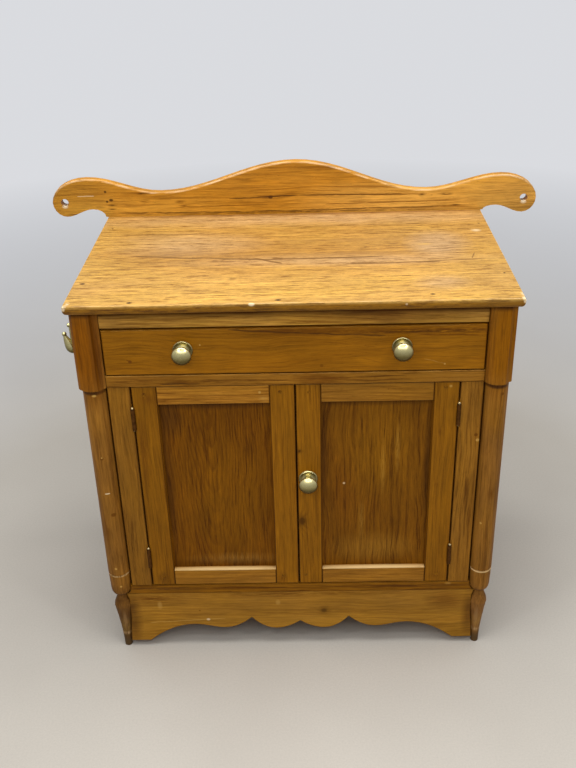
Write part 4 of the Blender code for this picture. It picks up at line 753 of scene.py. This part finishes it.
def make_light():
    world = bpy.data.worlds.new("studio")
    graph = Graph(world)
    glows = [graph.node("Background", (*shade, 1.0)).outputs[0] for shade in (AMBIENT, BACKDROP)]
    graph.node("OutputWorld", graph.node("MixShader", graph.seen(), *glows).outputs[0])
    bpy.context.scene.world = world
    make_lamp("overhead", (0.0, -0.25, 2.70), (0.0, -0.05, 0.5), (2.4, 1.5), 65.0, (1.0, 0.985, 0.96))
    make_lamp("left_lamp", (-1.00, -1.30, 2.00), (-0.15, -0.2, 0.6), (0.26, 0.26), 5.0)
    make_lamp("right_lamp", (1.05, -1.30, 2.00), (0.15, -0.2, 0.6), (0.26, 0.26), 5.0)
    make_lamp("front", (0.0, -2.25, 2.25), (0.0, -0.2, 0.6), (3.2, 0.8), 20.0)


# Dressing the CAD nodes

NEAR = 0.00002
# Angles over which an edge is drawn sharp
WORN_SHARP = math.radians(32)
PIECE_SHARP = math.radians(35)


def dress(piece, material):
    """Give a piece or a CAD node a material in every slot that it has."""
    if not piece.material_slots:
        piece.data.materials.append(material)
    for place in piece.material_slots:
        place.material = material


def main_box(bm):
    """Planes that hold most of a board's faces: its body without tenons."""
    planes = []
    for axis in range(3):
        pair = []
        for way in (-1, 1):
            areas = {}
            for face in bm.faces:
                if face.normal[axis] * way > 0.99:
                    place = round(face.calc_center_median()[axis], 5)
                    areas[place] = areas.get(place, 0.0) + face.calc_area()
            pair.append(max(areas, key=areas.get))
        planes.append(pair)
    return planes


def on_box_edge(edge, planes):
    shared = 0
    for axis, pair in enumerate(planes):
        a, b = (v.co[axis] for v in edge.verts)
        shared += any(abs(a - p) < NEAR and abs(b - p) < NEAR for p in pair)
    return shared >= 2


def on_rim(edge, planes):
    """An edge between a board's face or back and its sawn outline."""
    leans = sorted(abs(face.normal.y) for face in edge.link_faces)
    return leans[0] < 0.2 and leans[1] > 0.98 and edge.calc_face_angle_signed(0.0) > 0.6


POST_X = 0.352
NECK_Z = 0.1355
NECK_RADIUS = 0.0095
COLLAR_RADIUS = 0.0194
COLLAR_TURN = 0.016
BULGE_Z = 0.1057
BULGE_RADIUS = 0.0173
TOE_RADIUS = 0.0073
ANKLE_POWER = 1.7
SCRIBE_GAP = 0.0008


def leg_radius(z):
    """Radius of a front leg at a height at or below its collar."""
    if z >= NECK_Z:
        drop = min(1.0, (NECK_Z + COLLAR_TURN - z) / COLLAR_TURN)
        return NECK_RADIUS + (COLLAR_RADIUS - NECK_RADIUS) * math.sqrt(1 - max(0.0, drop) ** 2)
    if z >= BULGE_Z:
        share = (NECK_Z - z) / (NECK_Z - BULGE_Z)
        return NECK_RADIUS + (BULGE_RADIUS - NECK_RADIUS) * (1 - math.cos(math.pi * share)) / 2
    return TOE_RADIUS + (BULGE_RADIUS - TOE_RADIUS) * max(0.0, z / BULGE_Z) ** ANKLE_POWER


def scribe(bm, end, levels, most):
    """Fit the ends of a board between the front legs to the legs' turned outline."""
    for z in levels:
        bmesh.ops.bisect_plane(bm, geom=bm.verts[:] + bm.edges[:] + bm.faces[:], plane_co=(0, 0, z),
                               plane_no=(0, 0, 1), dist=NEAR)
    for vert in bm.verts:
        if end - 0.0020 < abs(vert.co.x) < end + NEAR:
            reach = min(POST_X - leg_radius(vert.co.z) - SCRIBE_GAP, most)
            vert.co.x += math.copysign(max(0.0, reach - end), vert.co.x)


def soften(node, radius, chosen=on_box_edge, is_worn=None, ends=None):
    """A copy of a CAD node that stands for it, with chosen arrises rounded or its edge faces marked worn."""
    bm = bmesh.new()
    bm.from_mesh(nodes[node].data)
    worn = bm.faces.layers.float.new("arris")
    bmesh.ops.remove_doubles(bm, verts=bm.verts, dist=NEAR)
    bmesh.ops.dissolve_limit(bm, angle_limit=math.radians(0.6), verts=bm.verts, edges=bm.edges)
    if chosen:
        planes = main_box(bm)
        edges = [e for e in bm.edges if len(e.link_faces) == 2 and chosen(e, planes)]
        edges = [e for e in edges if e.calc_face_angle(0.0) > 0.5]
        made = bmesh.ops.bevel(bm, geom=edges, offset=radius, segments=3, profile=0.5, affect="EDGES",
                               clamp_overlap=False, loop_slide=True)["faces"]
    else:
        made = [face for face in bm.faces if is_worn(face.normal)]
    for face in bm.faces:
        face.smooth = chosen is None
    for face in made:
        face.smooth = True
        face[worn] = 1.0
    if ends:
        scribe(bm, *ends)
    piece = made_of(f"{node}_soft", bm)
    if chosen is None:
        piece.data.set_sharp_from_angle(angle=WORN_SHARP)
    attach(piece, body_of_node[node])
    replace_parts(piece, node)
    return piece


def middle(node):
    low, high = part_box(node)
    return (low + high) / 2


make_camera()
make_floor()
make_light()

GRAINS = {}
for node, slot in slot_of_node.items():
    if slot.endswith("_pine"):
        stands = any(word in node for word in ("post", "jamb", "stile", "panel"))
        reaches = any(word in node for word in ("side", "runner"))
        GRAINS[node] = "Z" if stands else "Y" if reaches else "X"

ROUNDING = {"drawer_front": 0.0016, "drawer_top_rail": 0.0012, "drawer_divider_rail": 0.0012,
            "bottom_front_rail": 0.0010, "left_door_jamb": 0.0010, "right_door_jamb": 0.0010}
for hand in ("left", "right"):
    for part in ("hinge_stile", "meeting_stile", "top_rail", "bottom_rail"):
        ROUNDING[f"{hand}_door_{part}"] = 0.0013
    for part in ("top_rail", "bottom_rail"):
        ROUNDING[f"{hand}_side_{part}"] = 0.0015

APRON_LEVELS = (0.020, 0.035, 0.050, 0.065, 0.078, 0.090, 0.116, 0.122, 0.128, 0.132)
RAIL_LEVELS = (0.1375, 0.140, 0.143, 0.146, 0.149, 0.1525)
ENDS = {"front_apron": (0.3385, APRON_LEVELS, 0.3440), "bottom_front_rail": (0.3287, RAIL_LEVELS, 0.3412)}

shown = dict(nodes)
for node, radius in ROUNDING.items():
    shown[node] = soften(node, radius, ends=ENDS.get(node))
shown["front_apron"] = soften("front_apron", 0.0018, on_rim, ends=ENDS["front_apron"])
shown["splashback"] = soften("splashback", 0.0, None, lambda n: 0.1 < abs(n.y) < 0.97)
shown["top_board"] = soften("top_board", 0.0, None, lambda n: 0.80 < n.z < 0.985)

for number, (node, grain) in enumerate(GRAINS.items()):
    finish = "splash" if node == "splashback" else slot_of_node[node].removesuffix("_pine")
    dress(shown[node], pine(f"pine_{node}", grain, middle(node), finish, number + 1, **BOARDS.get(node, {})))

# The bright brass of the knobs and hook gets strong painted shade where it faces down
BRIGHT_BRASS = brass("bright_brass", (0.68, 0.600, 0.295), (0.39, 0.325, 0.130), 0.28, 3.0, 0.40, below=0.24)
DARK_BRASS = brass("hinge_brass", (0.125, 0.050, 0.011), (0.040, 0.016, 0.004), 0.50, 5.0, 0.7)
PIN_BRASS = brass("pin_brass", (0.62, 0.50, 0.26), (0.16, 0.10, 0.04), 0.30, 7.0, 0.5)
for node, slot in slot_of_node.items():
    if slot == "brass":
        dress(shown[node], BRIGHT_BRASS)
    elif slot == "dark_brass":
        dress(shown[node], PIN_BRASS if node.endswith("_pin") else DARK_BRASS)


# Pieces of their own: knobs, hook, glue strips and blocks, screws, nails and pegs


def stand(name, bm, body, material, smooth=True):
    """Make an object of a mesh, on a body and with a finish."""
    for face in bm.faces:
        face.smooth = smooth
    bmesh.ops.recalc_face_normals(bm, faces=bm.faces[:])
    piece = made_of(name, bm)
    piece.data.set_sharp_from_angle(angle=PIECE_SHARP)
    piece.data.materials.append(material)
    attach(piece, body)
    return piece


def facing(place, axis, turn=0.0):
    """Matrix that puts a shape drawn round Z on a place and points it along an axis."""
    return Matrix.Translation(place) @ Vector(axis).to_track_quat("Z", "Y").to_matrix().to_4x4() \
        @ Matrix.Rotation(math.radians(turn), 4, "Z")


def around(sides):
    """Cosine and sine of each corner round a circle."""
    angles = [2 * math.pi * side / sides for side in range(sides)]
    return [(math.cos(angle), math.sin(angle)) for angle in angles]


def skin(bm, rings):
    """Faces between rings with as many corners each, and on both ends."""
    for lower, upper in zip(rings, rings[1:]):
        for i in range(len(lower)):
            j = (i + 1) % len(lower)
            bm.faces.new((lower[i], lower[j], upper[j], upper[i]))
    bm.faces.new(rings[0])
    bm.faces.new(rings[-1])


def lathe(bm, matrix, profile, sides=14, bored=False):
    """A turned shape from (radius, height) pairs, from its foot to its crown, solid or with a bore."""
    rings = []
    for radius, height in profile:
        if radius < 1e-6:
            rings.append([bm.verts.new(matrix @ Vector((0, 0, height)))])
            continue
        rings.append([bm.verts.new(matrix @ Vector((radius * c, radius * s, height)))
                      for c, s in around(sides)])
    for lower, upper in zip(rings, rings[1:] + rings[:1] if bored else rings[1:]):
        for i in range(sides):
            j = (i + 1) % sides
            corners = [ring[k % len(ring)] for ring, k in ((lower, i), (lower, j), (upper, j), (upper, i))]
            bm.faces.new(list(dict.fromkeys(corners)))
    for ring in () if bored else (rings[0], rings[-1]):
        if len(ring) > 1:
            bm.faces.new(ring)


def nail(bm, place, axis, radius, proud):
    lathe(bm, facing(place, axis), ((radius * 0.5, -0.004), (radius, -0.0004), (radius, proud * 0.5),
                                    (radius * 0.7, proud), (0.0, proud * 1.1)), 12)


def screw(bm, place, axis, turn, radius, proud):
    """A slotted head: two halves of a low dome beside a slot, over a sunken disc."""
    matrix = facing(place, axis, turn)
    slot = radius * 0.14
    lathe(bm, matrix, ((radius * 0.97, -0.0012), (radius * 0.97, proud * 0.15), (0.0, proud * 0.15)), 14)
    for way in (-1, 1):
        rim = []
        for step in range(9):
            angle = math.pi * step / 8
            rim.append((radius * math.cos(angle), way * max(slot, radius * math.sin(angle))))
        inner = [(x * 0.72, way * max(slot, abs(y) * 0.72)) for x, y in rim]
        levels = [[bm.verts.new(matrix @ Vector((x, y, z))) for x, y in outline]
                  for outline, z in ((rim, -0.0010), (rim, proud * 0.45), (inner, proud))]
        skin(bm, levels)


def prism(bm, outline, low, high, inset=0.0012):
    """An upright block of an outline, with its two ends chamfered."""
    centre = Vector((sum(x for x, y in outline), sum(y for x, y in outline))) / len(outline)
    rings = []
    for z, share in ((low, 1), (low + inset, 0), (high - inset, 0), (high, 1)):
        ring = []
        for x, y in outline:
            inward = (centre - Vector((x, y))).normalized() * inset * share
            ring.append(bm.verts.new((x + inward.x, y + inward.y, z)))
        rings.append(ring)
    skin(bm, rings)


TUBE_SIDES = 14


def tube(bm, path, radii):
    """A tube of oval section along a path in the XZ plane, from its foot to its tip."""
    rings = []
    for number, (core, (thick, wide)) in enumerate(zip(path, radii)):
        ahead = path[min(number + 1, len(path) - 1)] - path[max(number - 1, 0)]
        out = Vector((ahead.z, 0.0, -ahead.x)).normalized()
        rings.append([bm.verts.new(core + out * thick * c + Vector((0, wide * s, 0)))
                      for c, s in around(TUBE_SIDES)])
    skin(bm, rings)


# Knobs turned with a moulded rose, a flared neck and a bun-shaped head: radius and height over the wood
LATCH_X, LATCH_Z = 0.0204, 0.4025
DRAWER_KNOB_X = (-0.190, 0.184)
DRAWER_KNOB_Z = 0.6715
ROSE = ((0.0172, 0.0003), (0.0176, 0.0012), (0.0173, 0.0023), (0.0164, 0.0031), (0.0154, 0.0029),
        (0.0143, 0.0020), (0.0120, 0.0017), (0.0098, 0.0022), (0.0081, 0.0031))
HEAD = ((0.0079, 0.0044), (0.0075, 0.0062), (0.0076, 0.0086), (0.0083, 0.0110), (0.0097, 0.0135),
        (0.0116, 0.0158), (0.0139, 0.0181), (0.0158, 0.0203), (0.0167, 0.0222), (0.0170, 0.0239),
        (0.0165, 0.0253))
DOME_RADIUS = 0.0215
DOME_TIP = 0.0330
DOME = tuple((r, DOME_TIP - DOME_RADIUS + math.sqrt(DOME_RADIUS ** 2 - r ** 2))
             for r in (0.0155, 0.0142, 0.0128, 0.0113, 0.0097, 0.0080, 0.0062, 0.0043, 0.0022, 0.0))
FRONTWARD = (0, -1, 0)
BACKWARD = (0, 1, 0)
KNOB_SIDES = 48


def turn_knob(name, node, place, profile, bored=False):
    """A turned piece that stands for a CAD node."""
    bm = bmesh.new()
    lathe(bm, facing(place, FRONTWARD), profile, KNOB_SIDES, bored)
    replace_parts(stand(name, bm, body_of_node[node], BRIGHT_BRASS), node)


for hand, x in zip(("left", "right"), DRAWER_KNOB_X):
    turn_knob(f"drawer_{hand}_knob_turned", f"drawer_{hand}_knob", (x, DRAWER_FACE * MM, DRAWER_KNOB_Z),
              ((0.0040, -0.0130), (0.0040, 0.0003)) + ROSE + HEAD + DOME)
LATCH_PLACE = (LATCH_X, DOOR_FACE * MM, LATCH_Z)
turn_knob("right_door_knob_turned", "right_door_knob", LATCH_PLACE,
          ((0.0040, -0.0290), (0.0040, 0.0036), (0.0066, 0.0037)) + HEAD + DOME)
turn_knob("right_door_rose_turned", "right_door_knob_rose", LATCH_PLACE,
          ((0.0044, 0.0003),) + ROSE + ((0.0062, 0.0034), (0.0044, 0.0034)), True)

# The towel hook: a domed plate with two screws and a leaf-shaped arm that ends in a ball
HOOK_Y = POST_AXIS_Y * MM
HOOK_PLATE_X = -0.3753
HOOK_PLATE_Z = 0.695
HOOK_PLATE_WIDE, HOOK_PLATE_TALL = 0.0088, 0.0268
HOOK_BUTTON_Z = 0.7172
HOOK_BALL = 0.0040
LEFTWARD = (-1, 0, 0)
HOOK_FOOT = Vector((-0.3775, HOOK_Y, 0.6740))
HOOK_TIP = Vector((-0.3913, HOOK_Y, 0.7005))
bm = bmesh.new()
levels = []
for share, lift in ((1.0, -0.0004), (1.0, 0.0016), (0.90, 0.0028), (0.62, 0.0036), (0.25, 0.0039)):
    ring = []
    for c, s in around(32):
        waist = 1.0 - 0.18 * (2 * c * c - 1) ** 2 * (abs(c) > 0.6)
        ring.append(bm.verts.new((HOOK_PLATE_X - lift, HOOK_Y + HOOK_PLATE_WIDE * share * waist * c,
                                  HOOK_PLATE_Z + HOOK_PLATE_TALL * share * s)))
    levels.append(ring)
skin(bm, levels)
path, radii = [], []
pulls = (HOOK_FOOT, HOOK_FOOT + Vector((-0.012, 0, -0.0085)), HOOK_TIP - Vector((0, 0, 0.0160)), HOOK_TIP)
for step in range(17):
    t = step / 16
    path.append(pulls[0] * (1 - t) ** 3 + pulls[1] * 3 * t * (1 - t) ** 2 + pulls[2] * 3 * t * t * (1 - t)
                + pulls[3] * t ** 3)
    swell = math.sin(math.pi * min(1.0, t * 0.85 + 0.15)) ** 1.2
    path[-1].x += 0.0054 * swell
    radii.append((0.0022 + 0.0070 * swell, 0.0026 + 0.0046 * swell))
tube(bm, path, radii)
rib = [Vector((HOOK_PLATE_X - 0.0032, HOOK_Y, HOOK_BUTTON_Z - 0.0054 * step)) for step in range(9)]
tube(bm, rib, [(0.0036, 0.0032)] * len(rib))
ball = [(HOOK_BALL * math.sin(math.pi * k / 10), -HOOK_BALL * math.cos(math.pi * k / 10)) for k in range(11)]
lathe(bm, facing(HOOK_TIP, (0, 0, 1)), ball, 16)
lathe(bm, facing((HOOK_PLATE_X, HOOK_Y, HOOK_BUTTON_Z), LEFTWARD), (
    (0.0050, 0.0010), (0.0046, 0.0034), (0.0036, 0.0046), (0.0035, 0.0056), (0.0038, 0.0068),
    (0.0034, 0.0080), (0.0021, 0.0091), (0.0, 0.0095)), 16)
for lift, z, turn in ((0.0034, 0.7055, 25), (0.0036, 0.6880, 80)):
    screw(bm, (HOOK_PLATE_X - lift, HOOK_Y, z), LEFTWARD, turn, 0.0029, 0.0012)
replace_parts(stand("towel_hook_cast", bm, "root", BRIGHT_BRASS), "towel_hook")

# Glue strips in the cupboard's front corners, behind the jambs, and glue blocks under its floor, behind the
# front legs: outline of the right-hand one, height of its foot and head, grain, middle and first seed
GLUED = {
    "glue_strip": (((0.3286, -0.1866), (0.3150, -0.1866), (0.3150, -0.1820), (0.3330, -0.1640),
                    (0.3418, -0.1640), (0.3418, -0.1745), (0.3286, -0.1785)),
                   (0.1623, 0.5960), "Z", (0.33, -0.175, 0.38), 71),
    "glue_block": (((0.3418, -0.1665), (0.3290, -0.1665), (0.3250, -0.1620), (0.3250, -0.1500),
                    (0.3418, -0.1300)),
                   (0.1210, 0.1459), "Y", (0.333, -0.155, 0.133), 75),
}
for part, (outline, ends, grain, (middle_x, middle_y, middle_z), seed) in GLUED.items():
    for number, (hand, side) in enumerate(HANDS):
        bm = bmesh.new()
        prism(bm, [(side * x, y) for x, y in outline], *ends)
        wood = pine(f"pine_{hand}_{part}", grain, Vector((side * middle_x, middle_y, middle_z)), "inner",
                    seed + number, edge_wear_and_light=0.0)
        stand(f"{hand}_{part}", bm, "root", wood, False)

# Screws of the bolt plate, nut of the latch spindle and bolt heads behind the drawer knobs
NUT_Y = -0.1807
KNOB_BOLT_Y = -0.1898
SCREW_BRASS = brass("screw_brass", (0.20, 0.14, 0.065), (0.06, 0.04, 0.02), 0.42, 11.0, 0.6)
bm = bmesh.new()
low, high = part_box("left_door_bolt_plate")
flat = max(v.co.y for v in nodes["left_door_bolt_plate"].data.vertices if v.co.x < low.x + 0.0035)
for x, turn in ((low.x + 0.0030, 30), (high.x - 0.0030, -20)):
    for z in (low.z + 0.0040, high.z - 0.0040):
        screw(bm, (x, flat, z), BACKWARD, turn + z * 300, 0.0021, 0.0005)
stand("bolt_plate_screws", bm, body_of_node["left_door_bolt_plate"], SCREW_BRASS)
bm = bmesh.new()
lathe(bm, facing((LATCH_X, NUT_Y, LATCH_Z), BACKWARD, 12), (
    (0.0060, -0.0002), (0.0069, 0.0004), (0.0069, 0.0018), (0.0058, 0.0024)), 6)
stand("latch_nut", bm, body_of_node["right_door_latch_bar"], SCREW_BRASS)
bm = bmesh.new()
for x in DRAWER_KNOB_X:
    lathe(bm, facing((x, KNOB_BOLT_Y, DRAWER_KNOB_Z), BACKWARD), (
        (0.0072, -0.0006), (0.0072, 0.0008), (0.0066, 0.0011), (0.0047, 0.0011), (0.0046, 0.0024),
        (0.0033, 0.0033), (0.0, 0.0035)), 18)
stand("drawer_knob_bolts", bm, "drawer", SCREW_BRASS)

# Pegs through the door joints
PEG_RADIUS = 0.0037
PEG_MATERIAL = pine("pine_pegs", "Y", Vector((0.0, -0.2, 0.4)), "frame", 81, tone=0.62, edge_wear_and_light=0.0,
                    spacing=0.0016, lines=1.6)
PEGS = {"left_door": ((-0.0262, 0.5849), (-0.2655, 0.5835), (-0.0300, 0.1765), (-0.2640, 0.1760)),
        "right_door": ((0.0245, 0.5839), (0.2630, 0.5890), (0.0125, 0.1790), (0.2660, 0.1755))}
for body, places in PEGS.items():
    bm = bmesh.new()
    for x, z in places:
        lathe(bm, facing((x, DOOR_FACE * MM, z), FRONTWARD, x * 900), (
            (PEG_RADIUS, -0.003), (PEG_RADIUS, 0.0001), (PEG_RADIUS * 0.86, 0.0005), (0.0, 0.0006)), 9)
    stand(f"{body}_pegs", bm, body, PEG_MATERIAL)

# Nails in the top and in the back boards
IRON = brass("nail_iron", (0.060, 0.040, 0.028), (0.022, 0.014, 0.010), 0.55, 9.0, 0.7)
TOP_NAILS = ((-0.3650, -0.1339), (-0.2706, -0.2199), (-0.0242, -0.2190), (0.2320, -0.2060),
             (-0.3600, 0.1500), (0.3640, 0.1400), (0.3660, -0.1200))
bm = bmesh.new()
for x, y in TOP_NAILS:
    nail(bm, (x, y, TOP * MM - 0.0002), (0, 0, 1), 0.0024, 0.0003)
stand("top_nails", bm, "root", IRON)
bm = bmesh.new()
for board in ("lower_back_board", "upper_back_board"):
    low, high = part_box(board)
    for x in (low.x + 0.018, high.x - 0.018):
        for step in range(4):
            z = low.z + (high.z - low.z) * (0.10 + 0.80 * step / 3)
            nail(bm, (x + 0.0015 * math.sin(z * 90), high.y - 0.0002, z), BACKWARD, 0.0028, 0.0005)
stand("back_nails", bm, "root", IRON)

# Screws in the hinge leaves, on the faces that show when a door stands open
LEAF_SCREW_Y = -0.1985
for body, leaf in (("root", "jamb_leaf"), ("left_door", "door_leaf"), ("right_door", "door_leaf")):
    bm = bmesh.new()
    for hand, side in HANDS:
        if body != "root" and not body.startswith(hand):
            continue
        inward = -side if leaf == "jamb_leaf" else side
        for level in ("upper", "lower"):
            mesh = nodes[f"{hand}_{level}_hinge_{leaf}"].data
            plate = [v.co.x for v in mesh.vertices if abs(v.co.y - LEAF_SCREW_Y) < 0.008]
            face_x = max(plate) if inward > 0 else min(plate)
            low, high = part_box(f"{hand}_{level}_hinge_{leaf}")
            for share, turn in ((0.2, 20), (0.5, 75), (0.8, -35)):
                z = low.z + (high.z - low.z) * share
                screw(bm, (face_x, LEAF_SCREW_Y, z), (inward, 0, 0), turn, 0.0026, 0.0001)
    stand(f"{body}_hinge_screws", bm, body, SCREW_BRASS)

bpy.context.scene.view_settings.view_transform = "Standard"
